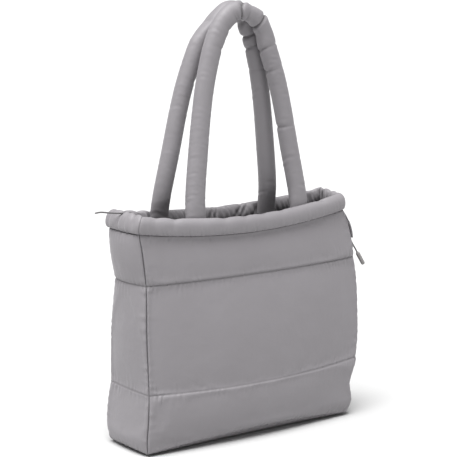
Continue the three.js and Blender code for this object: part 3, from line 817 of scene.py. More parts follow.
@dataclass
class QuiltedWall:
    """A padded wall panel, stitched across into three puffed channels."""

    form: ToteForm
    face: Face
    seed: int
    cell: float = 0.0042
    pull: float = 0.55
    gathered_along: float = 0.018
    gathered_up: float = 0.004
    pucker_depth: float = 0.00038
    pucker_reach: float = 0.012
    skews: Point = (0.0, 0.0, 0.0)
    stuffing: Stuffing = Stuffing(pressure=-3.0, tension=20.0, bending=1.5, reach=0.0035)

    @property
    def name(self) -> str:
        """The CAD node's name, which the piece's own name follows."""
        return f"{self.face.name}_{'panel' if self.face.is_wide else 'gusset'}"

    def lay_out(self, table: SettlingTable) -> None:
        """Build the panel in its drawn shape and put it on the settling table.

        Args:
            table: The settling table.
        """
        run = self.form.run(self.face, self.form.seams[1])
        across = close_at_seams(0, 1, round(run / self.cell), 0.3)
        seams = self.form.seams
        rows = [
            close_at_seams(low, high, round((high - low) / self.cell), self.pull)[:-1]
            for low, high in zip(seams[:-1], seams[1:])
        ]
        levels = np.concatenate([*rows, seams[-1:]])
        self.piece = as_piece(f"quilted_{self.name}", slab(across, levels))
        mesh = self.piece.data
        across, level, skin = (read_mark(mesh, mark) for mark in ("across", "level", "skin"))
        points = self._drawn(across, level, skin)
        write_points(mesh, points)
        StuffedRim._face_outwards(mesh)
        sewn = (self._from_seam(level) < 1e-5) | (across < 1e-5) | (across > 1 - 1e-5)
        stretch = np.array([1 + self.gathered_along, 1 + self.gathered_along, 1 + self.gathered_up])
        table.lay(self.piece, sewn.astype(float), points * stretch, self.stuffing)

    def _drawn(self, across: Array, level: Array, skin: Array) -> Array:
        """The panel's points before it settles."""
        form = self.form
        seams = form.seams
        channel = np.clip(np.searchsorted(seams, level, side="right") - 1, 0, 2)
        share = (level - seams[channel]) / np.array(form.channels)[channel]
        share = share + np.array(self.skews)[channel] * share * (1 - share)
        firmness = form.wide_firmness if self.face.is_wide else form.panel_firmness
        puff = dome(share, form.panel_firmness) * dome(across, firmness)
        outer, inner = form.puff_out * puff, -form.seam_thickness - form.puff_in * puff
        joint = form.joint / form.run(self.face, form.seams[1])
        along = joint + across * (1 - 2 * joint)
        return form.skin(self.face, along, level, np.where(skin > 0.5, inner, outer))

    def _from_seam(self, level: Array) -> Array:
        """How far each level is from the nearest stitched line."""
        return np.abs(level[:, None] - self.form.seams).min(axis=1)

    def finish(self, material: bpy.types.Material) -> None:
        """Refine the settled panel, pucker it along its seams and dress it.

        Args:
            material: The nylon.
        """
        refine(self.piece)
        mesh = self.piece.data
        across, level, skin = (read_mark(mesh, mark) for mark in ("across", "level", "skin"))
        run = self.form.run(self.face, self.form.seams[1])
        from_seam = self._from_seam(level)
        from_corner = np.minimum(across, 1 - across) * run
        side = np.where(across < 0.5, 0.0, 7.0)
        nearest = np.abs(level[:, None] - self.form.seams).argmin(axis=1)
        above = (level > self.form.seams[nearest]).astype(float)
        place = across * run + 3.1 * nearest + 1.3 * above
        ticks = Ripple(self.seed, 0.0055, 0.011).at(place) * self._pucker(from_seam)
        tucks = Ripple(self.seed + 1, 0.009, 0.022).at(level + side) * self._pucker(from_corner)
        depth = np.where(skin > 0.5, 0.6, 1.0) * self.pucker_depth
        points = read_points(mesh)
        away = np.minimum(1, np.minimum(from_seam, from_corner) / 0.002)
        patches = 0.7 + 0.3 * Ripple(self.seed + 2, 0.03, 0.09, 6).at(place + level)
        dip = depth * away * patches * (ticks + 0.95 * tucks)
        write_points(mesh, points - normals_of(mesh) * dip[:, None])
        # Painted shade along the panel's seams and corner seams, written to the seam mark.
        edge = np.minimum(from_seam, from_corner)
        write_mark(mesh, "seam", 0.58 * np.clip(1 - edge / 0.0016, 0, 1))
        spread_uv(mesh, "cut", across * run, level)
        dress(self.piece, Slot.NYLON, material, self.name)

    def _pucker(self, distance: Array) -> Array:
        """How strong the puckers are at a distance from a seam: most just beside it, then fading."""
        reach = self.pucker_reach
        return distance / (reach / 3) * np.exp(1 - distance / (reach / 3)) * 0.6 + 0.4 * np.exp(-distance / reach)


@dataclass
class PaddedBase:
    """The padded base, which rounds in below the four walls and is flat underneath."""

    form: ToteForm
    seed: int = 71
    roundness: float = 0.018
    belly: float = 0.008
    curve: float = 2.2
    puff_in: float = 0.005
    cell: float = 0.0042
    stuffing: Stuffing = Stuffing(pressure=2.0, tension=20.0, bending=1.5, reach=0.002)

    def lay_out(self, table: SettlingTable) -> None:
        """Build the base in its drawn shape and put it on the settling table.

        Args:
            table: The settling table.
        """
        across = close_at_seams(0, 1, round(self.form.width / self.cell), 0.5)
        back = close_at_seams(0, 1, round(self.form.depth / self.cell), 0.4)
        shape = slab(across, back)
        bmesh.ops.recalc_face_normals(shape, faces=shape.faces[:])
        self.piece = as_piece("padded_base", shape)
        mesh = self.piece.data
        across, back, skin = (read_mark(mesh, mark) for mark in ("across", "level", "skin"))
        points = np.where((skin > 0.5)[:, None], self._over(across, back), self._under(across, back))
        write_points(mesh, points)
        border = np.minimum(np.minimum(across, 1 - across), np.minimum(back, 1 - back))
        resting = (skin < 0.5) & (points[:, 2] < 0.0012)
        table.lay(self.piece, ((border < 1e-5) | resting).astype(float), points * 1.008, self.stuffing)

    def _plan(self, across: Array, back: Array, offset: float) -> Array:
        """A sheet stretched between the four walls' lower edges."""
        form = self.form
        height = form.base_seam - form.joint
        edges = {
            face.name: form.skin(face, along, np.full_like(along, height), np.full_like(along, offset))
            for face, along in ((FRONT, across), (BACK, 1 - across), (LEFT, 1 - back), (RIGHT, back))
        }
        u, v = across[:, None], back[:, None]
        ends = [
            form.corner(corner, np.full_like(across, height), np.full_like(across, offset))
            for corner in (FRONT_LEFT, FRONT_RIGHT, BACK_RIGHT, BACK_LEFT)
        ]
        corners = ends[0] * (1 - u) * (1 - v) + ends[1] * u * (1 - v) + ends[2] * u * v + ends[3] * (1 - u) * v
        sides = edges["front"] * (1 - v) + edges["back"] * v + edges["left"] * (1 - u) + edges["right"] * u
        return sides - corners

    def _inwards(self, across: Array, back: Array) -> Array:
        """How far in from the edge a point lies, as a share of the rounded edge."""
        reach = self.roundness + self.belly * 4 * across * (1 - across)
        out_x = np.maximum(0, 1 - np.minimum(across, 1 - across) * self.form.width / self.roundness)
        out_y = np.maximum(0, 1 - np.minimum(back, 1 - back) * self.form.depth / reach)
        return 1 - np.minimum(1, np.hypot(out_x, out_y))

    def _under(self, across: Array, back: Array) -> Array:
        """The base's lower skin."""
        points = self._plan(across, back, 0.0)
        points[:, 2] *= (1 - self._inwards(across, back)) ** self.curve
        return points

    def _over(self, across: Array, back: Array) -> Array:
        """The base's upper skin."""
        points = self._plan(across, back, -self.form.seam_thickness)
        puff = dome(across, self.form.wide_firmness) * dome(back, self.form.panel_firmness)
        points[:, 2] += self.puff_in * puff * self._inwards(across, back)
        return points

    def finish(self, material: bpy.types.Material) -> None:
        """Refine the settled base, pucker its edge and dress it.

        Args:
            material: The nylon.
        """
        refine(self.piece)
        mesh = self.piece.data
        across, back, skin = (read_mark(mesh, mark) for mark in ("across", "level", "skin"))
        from_x = np.minimum(across, 1 - across) * self.form.width
        from_y = np.minimum(back, 1 - back) * self.form.depth
        points = read_points(mesh)
        place = np.where(from_y < from_x, across * self.form.width, 5 + back * self.form.depth)
        edge = np.minimum(from_x, from_y)
        swell = 0.0008 * Ripple(self.seed, 0.007, 0.018).at(place) * np.exp(-edge / 0.007) * np.minimum(1, edge / 0.002)
        points = points + normals_of(mesh) * swell[:, None]
        points[:, 2] = np.maximum(points[:, 2], 0.0)
        write_points(mesh, points)
        # Painted shade along the base's edge seam, written to the seam mark.
        write_mark(mesh, "seam", 0.58 * np.clip(1 - edge / 0.002, 0, 1))
        spread_uv(mesh, "cut", across * self.form.width, back * self.form.depth)
        dress(self.piece, Slot.NYLON, material, "base_panel")


# The rim's section, from its outer seam edge up over the top and down the inner side, as shares of
# the rim's height and thickness. The first row comes again at the end, so that the curve closes.
RIM_SECTION = SmoothTable(
    ("turn", "up", "out"),
    (
        (0, 0.0, 0.0), (1, 0.04, 0.19), (2, 0.22, 0.34), (3, 0.5, 0.38), (4, 0.78, 0.28), (5, 0.96, 0.04),
        (6, 1.0, -0.17), (7, 0.92, -0.42), (8, 0.68, -0.58), (9, 0.38, -0.6), (10, 0.12, -0.44),
        (11, 0.0, -0.158), (12, 0.0, 0.0),
    ),
)


@dataclass(frozen=True)
class Gather:
    """A fold pressed into the rim: where it is, how wide, how deep, and how far it slants."""

    at: float
    width: float
    outside: float
    top: float
    inside: float
    slant: float = 0.0


@dataclass
class StuffedRim:
    """One length of the stuffed rim round the mouth, drawn up in gathers by the cord inside it."""

    form: ToteForm
    face: Face
    gathers: tuple[Gather, ...]
    seats: tuple[float, ...] = ()
    seat_half: float = 0.0177
    seat_depth: float = 0.007
    seat_ramp: float = 0.007
    seed: int = 31
    sides: int = 28
    cell: float = 0.0034
    gather_width: float = 0.009
    gather_depth: float = 0.006
    corner_pinch: float = 0.48
    corner_drop: float = 0.026
    crown: float = 0.0
    bulge: float = 1.0
    pleated: float = 0.0005
    gathered: float = 0.04
    stuffing: Stuffing = Stuffing(pressure=5.0, tension=20.0, bending=0.8, reach=0.0028)

    @property
    def run(self) -> float:
        """The length between this face's corners at the rim seam."""
        return self.form.run(self.face, self.form.rim_seam)

    def lay_out(self, table: SettlingTable) -> None:
        """Build the length in its drawn shape and put it on the settling table.

        Args:
            table: The settling table.
        """
        shape = tube(self.sides, round(self.run / self.cell), crisp=0.75)
        bmesh.ops.recalc_face_normals(shape, faces=shape.faces[:])
        self.piece = as_piece(f"stuffed_{self.face.name}_rim", shape)
        mesh = self.piece.data
        turn, along = (read_mark(mesh, mark) for mark in ("turn", "along"))
        points = self._drawn(turn, along)
        write_points(mesh, points)
        self._face_outwards(mesh)
        up = RIM_SECTION.read("up", turn * 12)
        seated = np.zeros_like(along)
        for seat in self.seats:
            beside = np.abs(along - seat) * self.run
            seated = np.maximum(seated, (beside < self.seat_half) & (turn > 0.5) & (turn < 0.95))
        folded = np.max([self._pressed(side, up, along) for side in ("outside", "top", "inside")], axis=0)
        sewn = (up < 0.03) | (along < 1e-4) | (along > 1 - 1e-4) | (seated > 0.5) | (folded > 0.55)
        axis = np.array([1.0, 0.0, 0.0]) if self.face.is_wide else np.array([0.0, 1.0, 0.0])
        table.lay(self.piece, sewn.astype(float), points * (1 + self.gathered * axis), self.stuffing)

    @staticmethod
    def _face_outwards(mesh: bpy.types.Mesh) -> None:
        """Turn the faces outwards, now that the tube has its shape."""
        shape = bmesh.new()
        shape.from_mesh(mesh)
        bmesh.ops.recalc_face_normals(shape, faces=shape.faces[:])
        shape.to_mesh(mesh)
        shape.free()

    def _pressed(self, side: str, up: Array, along: Array) -> Array:
        """How deeply the gathers press one side of the rim in, from 0 to 1."""
        most = 0 * along
        for gather in self.gathers:
            reach = gather.width * self.gather_width * 0.62
            place = (along - gather.at) * self.run - gather.slant * up * self.form.rim_height
            most = np.maximum(most, getattr(gather, side) * hollow(place, reach))
        return most

    def _drawn(self, turn: Array, along: Array) -> Array:
        """The rim's points before it settles."""
        form = self.form
        up, out = (RIM_SECTION.read(column, turn * 12) for column in ("up", "out"))
        joint = form.joint / self.run
        along = joint + along * (1 - 2 * joint)
        pressed = {side: self._pressed(side, up, along) for side in ("outside", "top", "inside")}
        at_corner = 1 - dome(along, form.wide_firmness)
        plump = 1 - self.corner_pinch * at_corner
        roundness = np.sin(math.pi * np.clip(up, 0, 1))
        depth = self.gather_depth
        bulge = 1 - (1 - self.bulge) * (1 - at_corner)
        outer = out * form.rim_thickness * plump * bulge - depth * pressed["outside"] * roundness
        inner = out * form.rim_thickness * plump + depth * pressed["inside"] * roundness
        offset = np.where(out > 0, outer, np.minimum(-form.seam_thickness * np.minimum(1, -out / 0.158), inner))
        for seat in self.seats:
            beside = np.maximum(0, np.abs(along - seat) * self.run - self.seat_half)
            flat = np.maximum(0, 1 - beside / self.seat_ramp)
            flat = flat * flat * (3 - 2 * flat)
            offset = offset + np.where(out < 0, flat * np.maximum(0, -self.seat_depth - offset), 0)
        lift = up * form.rim_height * (1 - self.corner_drop * at_corner)
        lift = lift + up * up * (self.crown * (1 - at_corner) - depth * pressed["top"])
        seam = np.full_like(along, form.rim_seam)
        base = form.skin(self.face, along, seam, offset)
        leaned = form.skin(self.face, along, seam + up * form.rim_height, offset)
        leaned[:, 2] = base[:, 2] + form.joint + lift
        return leaned

    def finish(self, material: bpy.types.Material) -> None:
        """Refine the settled length, pucker it along its seam and dress it.

        Args:
            material: The nylon.
        """
        refine(self.piece)
        mesh = self.piece.data
        turn, along = (read_mark(mesh, mark) for mark in ("turn", "along"))
        points = read_points(mesh)
        height = points[:, 2] - points[:, 2].min()
        from_end = np.minimum(along, 1 - along) * self.run
        base = self.form.skin(self.face, along, np.full_like(along, self.form.rim_seam), 0 * along)
        above = points[:, 2] - base[:, 2]
        place = along * self.run
        ticks = Ripple(self.seed, 0.006, 0.015).at(place + 0.2 * height) * np.exp(-above / 0.007)
        inside = np.clip(np.sin(math.tau * (turn - 0.5)), 0, 1)
        pleats = Ripple(self.seed + 1, 0.006, 0.014).at(place - 0.5 * above) * inside * np.minimum(1, above / 0.006)
        creased = (0.0006 * ticks + self.pleated * pleats) * np.clip(above / 0.002, 0, 1)
        swell = creased * np.minimum(1, from_end / 0.002)
        write_points(mesh, points + normals_of(mesh) * swell[:, None])
        # Painted shade along the rim seam and in the gathers' valleys on the rim's top and inner side, written to the
        # seam mark.
        up = RIM_SECTION.read("up", turn * 12)
        valleys = np.max([self._pressed(side, up, along) for side in ("top", "inside")], axis=0)
        edge = np.clip(1 - np.minimum(np.maximum(above, 0), from_end) / 0.0016, 0, 1)
        write_mark(mesh, "seam", 0.6 * np.maximum(0.5 * edge, np.clip(valleys - 0.35, 0, 0.6) * (turn > 0.4)))
        girth = 0.078
        spread_uv(mesh, "cut", place, turn * girth, girth)
        dress(self.piece, Slot.NYLON, material, f"{self.face.name}_rim")


# One leg of a handle, from its stitched end to the top of the arch, as in the part's source.
HANDLE_LEG = SmoothTable(
    ("rise", "spread", "lean", "width", "thickness"),
    (
        (0.0, 1.0, 1.0, 1.14, 0.464),
        (0.07, 1.0, 1.0, 1.12, 0.66),
        (0.15, 0.982, 0.98, 1.04, 0.9),
        (0.35, 0.878, 0.66, 1.0, 1.0),
        (0.53, 0.781, 0.4, 0.98, 0.98),
        (0.65, 0.7, 0.25, 0.98, 0.98),
        (0.76, 0.598, 0.12, 1.0, 0.98),
        (0.835, 0.512, 0.06, 1.02, 0.97),
        (0.905, 0.4, 0.03, 1.04, 0.96),
        (0.965, 0.24, 0.01, 1.04, 0.96),
    ),
)


@dataclass(frozen=True)
class Crease:
    """A fold across a handle: where it is, how deep on either side of the bend, how wide, its slant.

    peak is how far the handle stands out there on the outside of the bend, or lies flat where it is
    below 0. pinch is how far its inside is drawn in, and spread how far both reach to either side.
    """

    at: float
    inside: float
    outside: float
    width: float = 1.0
    slant: float = 0.0
    peak: float = 0.0
    spread: float = 1.0
    pinch: float = 0.0


@dataclass
class StuffedHandle:
    """A long stuffed handle, stitched to the rim's inner side at both ends."""

    form: ToteForm
    face: Face
    creases: tuple[Crease, ...]
    left: float
    right: float
    top: float
    left_girth: float
    right_girth: float
    shoulder: float = 0.0
    shoulder_rise: float = 0.93
    shoulder_reach: float = 0.1
    spacing: float = 0.206
    width: float = 0.031
    thickness: float = 0.028
    top_height: float = 0.673
    tuck: float = 0.022
    gap: float = 0.0007
    seat_depth: float = 0.007
    crease_depth: float = 0.0032
    crease_width: float = 0.0042
    peak_reach: float = 0.014
    seed: int = 11
    sides: int = 32
    cell: float = 0.0032
    gathered: float = 0.006
    stuffing: Stuffing = Stuffing(pressure=3.0, tension=20.0, bending=1.5, reach=0.0012)

    @property
    def legs(self) -> tuple[float, float]:
        """The two legs' places along X."""
        return (self.left * self.spacing, self.right * self.spacing)

    def seat_share(self, x: float) -> float:
        """A leg's place as a share of the rim's run."""
        ends = [
            self.form.skin(self.face, np.array(share), np.array(self.form.rim_seam), np.array(-self.seat_depth))
            for share in (0.0, 1.0)
        ]
        return float((x - ends[0][0]) / (ends[1][0] - ends[0][0]))

    def _seat(self, x: float) -> Array:
        """Where a leg is stitched: the place on the rim's inner side that it lies against."""
        share, depth = np.array(self.seat_share(x)), np.array(-self.seat_depth - self.gap)
        seat = self.form.skin(self.face, share, np.array(self.form.rim_seam), depth)
        return np.array([x, seat[1], seat[2] + self.form.rim_height - self.tuck])

    def _route(self) -> Route:
        """The handle's centreline."""
        side = self.face.outward[1]
        table = HANDLE_LEG.columns
        last = table["thickness"][-1] * self.thickness
        top = np.array([self.top * self.spacing, side * (last / 2 + self.gap), self.top_height])
        bend = np.maximum(0, 1 - np.abs(table["rise"] - self.shoulder_rise) / self.shoulder_reach)
        sides = []
        for x, shoulder in zip(self.legs, (0.0, self.shoulder)):
            seat = self._seat(x)
            against = seat[1] - side * table["thickness"] * self.thickness / 2
            spread = table["spread"] + shoulder * bend
            sides.append(
                np.stack(
                    [
                        top[0] + (seat[0] - top[0]) * spread,
                        top[1] + (against - top[1]) * table["lean"],
                        seat[2] + (top[2] - seat[2]) * table["rise"],
                    ],
                    -1,
                )
            )
        self.lowest, self.highest = sides[0][0, 2], top[2]
        return Route(np.vstack([sides[0], top[None], sides[1][::-1]]))

    def lay_out(self, table: SettlingTable) -> None:
        """Build the handle in its drawn shape and put it on the settling table.

        Args:
            table: The settling table.
        """
        self.route = self._route()
        shape = tube(self.sides, round(self.route.length / self.cell))
        self.piece = as_piece(f"stuffed_{self.face.name}_handle", shape)
        mesh = self.piece.data
        turn, along = (read_mark(mesh, mark) for mark in ("turn", "along"))
        points = self._drawn(turn, along)
        write_points(mesh, points)
        StuffedRim._face_outwards(mesh)
        from_end = np.minimum(along, 1 - along) * self.route.length
        pressed = self._pressed(turn, along)
        sewn = ((from_end < 0.012) | (pressed > 0.4)).astype(float)
        cut = points * np.array([1 + self.gathered, 1.0, 1 + self.gathered])
        table.lay(self.piece, sewn, cut, self.stuffing)

    def _pressed(self, turn: Array, along: Array) -> Array:
        """How deeply each point lies in a crease, from 0 to 1."""
        outside = (1 + np.cos(math.tau * turn)) / 2
        front = np.sin(math.tau * turn)
        deepest = 0 * along
        for crease in self.creases:
            distance = (along - crease.at) * self.route.length - crease.slant * front * self.thickness / 2
            here = hollow(distance, self.crease_width * crease.width)
            deepest = np.maximum(deepest, here * (outside * crease.outside + (1 - outside) * crease.inside))
        return deepest

    def _moved(self, side: str, along: Array) -> Array:
        """How far the handle's outside stands out, or its inside is drawn in, along its length."""
        moved = 0 * along
        for crease in self.creases:
            distance = np.abs(along - crease.at) * self.route.length
            reach = self.peak_reach * crease.spread
            moved = moved + getattr(crease, side) * np.maximum(0, 1 - distance / reach)
        return moved

    def _drawn(self, turn: Array, along: Array) -> Array:
        """The handle's points before it settles."""
        centre, heading = self.route.at(along), self.route.heading(along)
        across = np.array([0.0, 1.0, 0.0]) - heading * heading[:, 1:2]
        across /= np.linalg.norm(across, axis=1, keepdims=True)
        out_of_bend = np.cross(heading, across)
        rise = (centre[:, 2] - self.lowest) / (self.highest - self.lowest)
        girth = self.left_girth + (self.right_girth - self.left_girth) * along
        width = HANDLE_LEG.read("width", rise) * girth * self.width / 2
        thickness = HANDLE_LEG.read("thickness", rise) * self.thickness / 2
        pressed = self.crease_depth * self._pressed(turn, along)
        angle = math.tau * turn
        width = width + self._moved("peak", along) * np.clip(np.cos(angle), 0, 1)
        width = width - self._moved("pinch", along) * np.clip(-np.cos(angle), 0, 1)
        points = centre + out_of_bend * ((width - pressed) * np.cos(angle))[:, None]
        return points + across * ((thickness - 0.6 * pressed) * np.sin(angle))[:, None]

    def finish(self, material: bpy.types.Material) -> None:
        """Refine the settled handle, wrinkle it lightly and dress it.

        Args:
            material: The nylon.
        """
        refine(self.piece)
        mesh = self.piece.data
        turn, along = (read_mark(mesh, mark) for mark in ("turn", "along"))
        girth = math.pi * (self.width + self.thickness) / 2
        place = along * self.route.length
        pressed = self._pressed(turn, along)
        # Painted shade in the handle's creases, written to the seam mark.
        write_mark(mesh, "seam", np.clip(0.75 * pressed - 0.25, 0, 1))
        wrinkles = Ripple(self.seed, 0.008, 0.022).at(place + 0.004 * np.sin(math.tau * turn * 2))
        around = 0.5 + 0.5 * Ripple(self.seed + 1, 0.3, 0.9, 5).at(turn + 0.6 * place / 0.05)
        swell = 0.00009 * wrinkles * around
        write_points(mesh, read_points(mesh) + normals_of(mesh) * swell[:, None])
        spread_uv(mesh, "cut", place, turn * girth, girth)
        dress(self.piece, Slot.NYLON, material, f"{self.face.name}_handle")


@dataclass
class Drawcord:
    """A short end of the drawcord, as a mesh tube along its route."""

    name: str
    node: str
    points: tuple[Point, ...]
    far_end: str
    lay: str
    diameter: float = 0.0026
    sides: int = 16
    path_points: int = 24

    def build(self, material: bpy.types.Material) -> bpy.types.Object:
        """Build and dress the cord.

        Args:
            material: The braid.

        Returns:
            The cord.
        """
        route = Route(np.array(self.points) / 1000)
        shape = tube(self.sides, max(12, round(route.length / 0.0012)))
        piece = as_piece(self.name, shape)
        mesh = piece.data
        turn, along = (read_mark(mesh, mark) for mark in ("turn", "along"))
        heading = route.heading(along)
        across = np.array([0.0, 1.0, 0.0]) - heading * heading[:, 1:2]
        across /= np.linalg.norm(across, axis=1, keepdims=True)
        upward = np.cross(heading, across)
        from_end = np.minimum(along, 1 - along) * route.length
        radius = self.diameter / 2 * (1 - 0.35 * np.exp(-from_end / 0.0004))
        angle = math.tau * turn
        ring = upward * np.cos(angle)[:, None] + across * np.sin(angle)[:, None]
        write_points(mesh, route.at(along) + ring * radius[:, None])
        StuffedRim._face_outwards(mesh)
        girth = math.pi * self.diameter
        spread_uv(mesh, "cut", along * route.length, turn * girth, girth)
        dress(piece, Slot.CORD, material, self.node)
        self.length = route.length
        self.route = route
        self.piece = piece
        return piece

    def declare(self) -> None:
        """Sample points along the cord's route, which nothing uses.
        """
        path = self.route.at(np.linspace(0, 1, self.path_points))


@dataclass
class CordEnd:
    """The moulded barrel on the right end of the drawcord."""

    start: Array
    heading: Array
    gap: float = 0.0003
    length: float = 0.025
    diameter: float = 0.007

    def build(self, material: bpy.types.Material) -> bpy.types.Object:
        """Turn the barrel from its profile.

        Args:
            material: The moulded plastic.

        Returns:
            The barrel.
        """
        radius = self.diameter / 2
        profile = ((0.0, 0.3), (0.0, 0.7), (0.04, 0.9), (0.1, 1.0), (0.93, 1.0), (0.98, 0.9), (1.0, 0.72), (1.0, 0.3))
        shape = bmesh.new()
        verts = [shape.verts.new((out * radius, 0, along * self.length)) for along, out in profile]
        edges = [shape.edges.new(pair) for pair in zip(verts[:-1], verts[1:])]
        bmesh.ops.spin(
            shape, geom=[*verts, *edges], cent=(0, 0, 0), axis=(0, 0, 1), angle=math.tau, steps=32,
            use_merge=True)
        rims = [edge for edge in shape.edges if edge.is_boundary]
        bmesh.ops.holes_fill(shape, edges=rims, sides=0)
        bmesh.ops.recalc_face_normals(shape, faces=shape.faces[:])
        sharp = [edge for edge in shape.edges if edge.calc_face_angle(0) > 0.35]
        bmesh.ops.bevel(
            shape, geom=sharp, offset=0.00018, offset_type="OFFSET", segments=2, profile=0.5,
            affect="EDGES", material=-1)
        heading = Vector(self.heading)
        turned = heading.to_track_quat("Z", "Y").to_matrix().to_4x4()
        place = Matrix.Translation(Vector(self.start) + heading * self.gap) @ turned
        bmesh.ops.transform(shape, matrix=place, verts=shape.verts[:])
        piece = as_piece("moulded_cord_end", shape)
        return dress(piece, Slot.MOULDED, material, "cord_end")


@dataclass
class KeeperTab:
    """A folded strip of the nylon, caught under the rim's right end, that the cord comes out of."""

    form: ToteForm
    width: float = 0.013
    thickness: float = 0.003
    length: float = 0.050
    away: float = 0.007
    drop: float = 0.002
    gap: float = 0.0006
    place: float = 0.24
    fold: float = 0.36

    def build(self, material: bpy.types.Material) -> bpy.types.Object:
        """Build and dress the tab.

        Args:
            material: The nylon.

        Returns:
            The tab.
        """
        fall = SmoothTable(
            ("down", "away"),
            ((0.0, 0.0), (0.2, 0.35), (0.44, 0.8), (0.7, 1.0), (0.86, 0.97), (1.0, 0.85)),
        )
        shape = slab(np.linspace(0, 1, 9), np.linspace(0, 1, 29))
        rim = [edge for edge in shape.edges if edge.calc_face_angle(0) > 1]
        bmesh.ops.bevel(
            shape, geom=rim, offset=0.04, offset_type="OFFSET", segments=3, profile=0.5, affect="EDGES",
            material=-1)
        piece = as_piece("folded_cord_tab", shape)
        mesh = piece.data
        across, down, skin = (read_mark(mesh, mark) for mark in ("across", "level", "skin"))
        height = self.form.rim_seam - self.drop - down * self.length
        half = self.width / 2 / self.form.run(RIGHT, self.form.rim_seam)
        along = self.place + half * (2 * across - 1)
        floor = self.form.seams[2]
        share = (height - floor) / self.form.channels[2]
        place = np.full_like(height, self.place)
        rise = self.form.puff_out * dome(share, self.form.panel_firmness) * dome(place, self.form.panel_firmness)
        middle = 1 - np.abs(2 * across - 1) ** 4
        folded = 1 - 0.5 * hollow(down - self.fold, 0.035)
        lift = (1 - skin) * self.thickness * (0.72 + 0.28 * middle) * folded
        away = rise + self.gap + fall.read("away", down) * self.away + lift
        points = self.form.skin(RIGHT, along, height, 0 * height)
        points[:, 0] += away
        write_points(mesh, points)
        StuffedRim._face_outwards(mesh)
        refine(piece)
        mesh = piece.data
        across, down = (read_mark(mesh, mark) for mark in ("across", "level"))
        # Painted shade in the tab's fold and at its lower end, written to the seam mark.
        fold = hollow(down - self.fold, 0.025) + hollow(down - 0.98, 0.02)
        write_mark(mesh, "seam", np.clip(fold, 0, 1) * 0.8)
        spread_uv(mesh, "cut", across * self.width, down * self.length)
        return dress(piece, Slot.NYLON, material, "cord_tab")


@dataclass
class QuiltingStitches:
    """The lockstitches that show along a wall's two quilting seams."""

    form: ToteForm
    face: Face
    pitch: float = 0.0036
    length: float = 0.0027
    thread: float = 0.0005
    proud: float = 0.00035

    def build(self, material: bpy.types.Material) -> bpy.types.Object:
        """Lay one short stitch after another in both grooves.

        Args:
            material: The thread.

        Returns:
            The stitches of this wall, as one piece.
        """
        shape = bmesh.new()
        for seam in self.form.seams[1:3]:
            run = self.form.run(self.face, seam)
            count = round(run / self.pitch)
            shares = (np.arange(count) + 0.5) / count
            level = np.full(count, seam)
            centres = self.form.skin(self.face, shares, level, np.full(count, self.proud))
            ahead = self.form.skin(self.face, shares + 0.002, level, np.full(count, self.proud))
            for centre, tip in zip(centres, ahead):
                heading = Vector(tip - centre).normalized()
                turned = heading.to_track_quat("X", "Z").to_matrix().to_4x4()
                size = Matrix.Diagonal((self.length / 2, self.thread / 2, self.thread / 2, 1))
                bmesh.ops.create_icosphere(
                    shape, subdivisions=1, radius=1, matrix=Matrix.Translation(centre) @ turned @ size)
        piece = as_piece(f"stitches_{self.face.name}", shape)
        return dress(piece, Slot.NYLON, material)


@dataclass(frozen=True)
class Studio:
    """A plain pale floor, a soft sky of light and one soft sun lamp."""

    floor: Colour = (0.55, 0.55, 0.55)
    sky: Colour = (1.0, 1.0, 1.0)
    sky_strength: float = 0.35

    def build(self) -> None:
        """Make the floor, the world and the lamp."""
        shape = bmesh.new()
        bmesh.ops.create_grid(shape, x_segments=1, y_segments=1, size=40)
        floor = as_piece("studio_floor", shape)
        bench = NodeBench("studio_floor")
        solid = bench.add("ShaderNodeTexCoord").outputs["Object"]
        tone = bench.add("ShaderNodeMix", data_type="RGBA")
        tone.inputs[6].default_value = (*[c * 0.985 for c in self.floor], 1)
        tone.inputs[7].default_value = (*self.floor, 1)
        bench.feed(bench.noise(solid, 3.0, 2.0), tone, 0)
        bench.feed(tone.outputs[2], bench.shader, "Base Color")
        bench.set(Roughness=0.9, Specular_IOR_Level=0.1)
        floor.data.materials.append(bench.material)
        world = bpy.data.worlds.new("studio")
        world.use_nodes = True
        light = world.node_tree.nodes["Background"]
        light.inputs["Color"].default_value = (*self.sky, 1)
        light.inputs["Strength"].default_value = self.sky_strength
        bpy.context.scene.world = world
        bpy.context.scene.view_settings.view_transform = "Standard"
        self._lamp("key", (-0.8, -0.5, 3.0), 50, 6.0)

    @staticmethod
    def _lamp(name: str, side: Point, softness: float, power: float) -> None:
        """Light the scene evenly from one side.

        Args:
            name: The lamp's name.
            side: Where the light comes from, seen from the bag.
            softness: How wide the light looks from the bag, in degrees.
            power: Its strength, in watts per square metre.
        """
        data = bpy.data.lights.new(name, "SUN")
        data.angle, data.energy = math.radians(softness), power
        lamp = bpy.data.objects.new(name, data)
        lamp.rotation_euler = (-Vector(side)).to_track_quat("-Z", "Y").to_euler()
        bpy.context.scene.collection.objects.link(lamp)


@dataclass(frozen=True)
class Viewpoint:
    """The photograph's camera."""

    place: Point = (-1.4828, -2.0634, 0.7827)
    target: Point = (0.0258, 0.0515, 0.3181)
    lens: float = 127.6
    sensor: float = 36.0

    def build(self) -> None:
        """Make the camera and use it."""
        data = bpy.data.cameras.new("photo_camera")
        data.lens, data.sensor_width = self.lens, self.sensor
        camera = bpy.data.objects.new("photo_camera", data)
        camera.location = self.place
        camera.rotation_euler = (Vector(self.target) - Vector(self.place)).to_track_quat("-Z", "Y").to_euler()
        bpy.context.scene.collection.objects.link(camera)
        bpy.context.scene.camera = camera


LEFT_CORD = (
    (-182, 8, 360), (-185, 8, 367), (-192, 8, 371), (-203, 8, 371.8), (-216, 8, 373), (-230, 8, 375.2),
    (-242, 8, 377), (-252, 8, 376.5),
)
RIGHT_CORD = ((223.3, -21.7, 293.6), (223.7, -21.7, 289), (227.5, -22, 282), (233, -22, 274), (237.8, -22, 266.5))

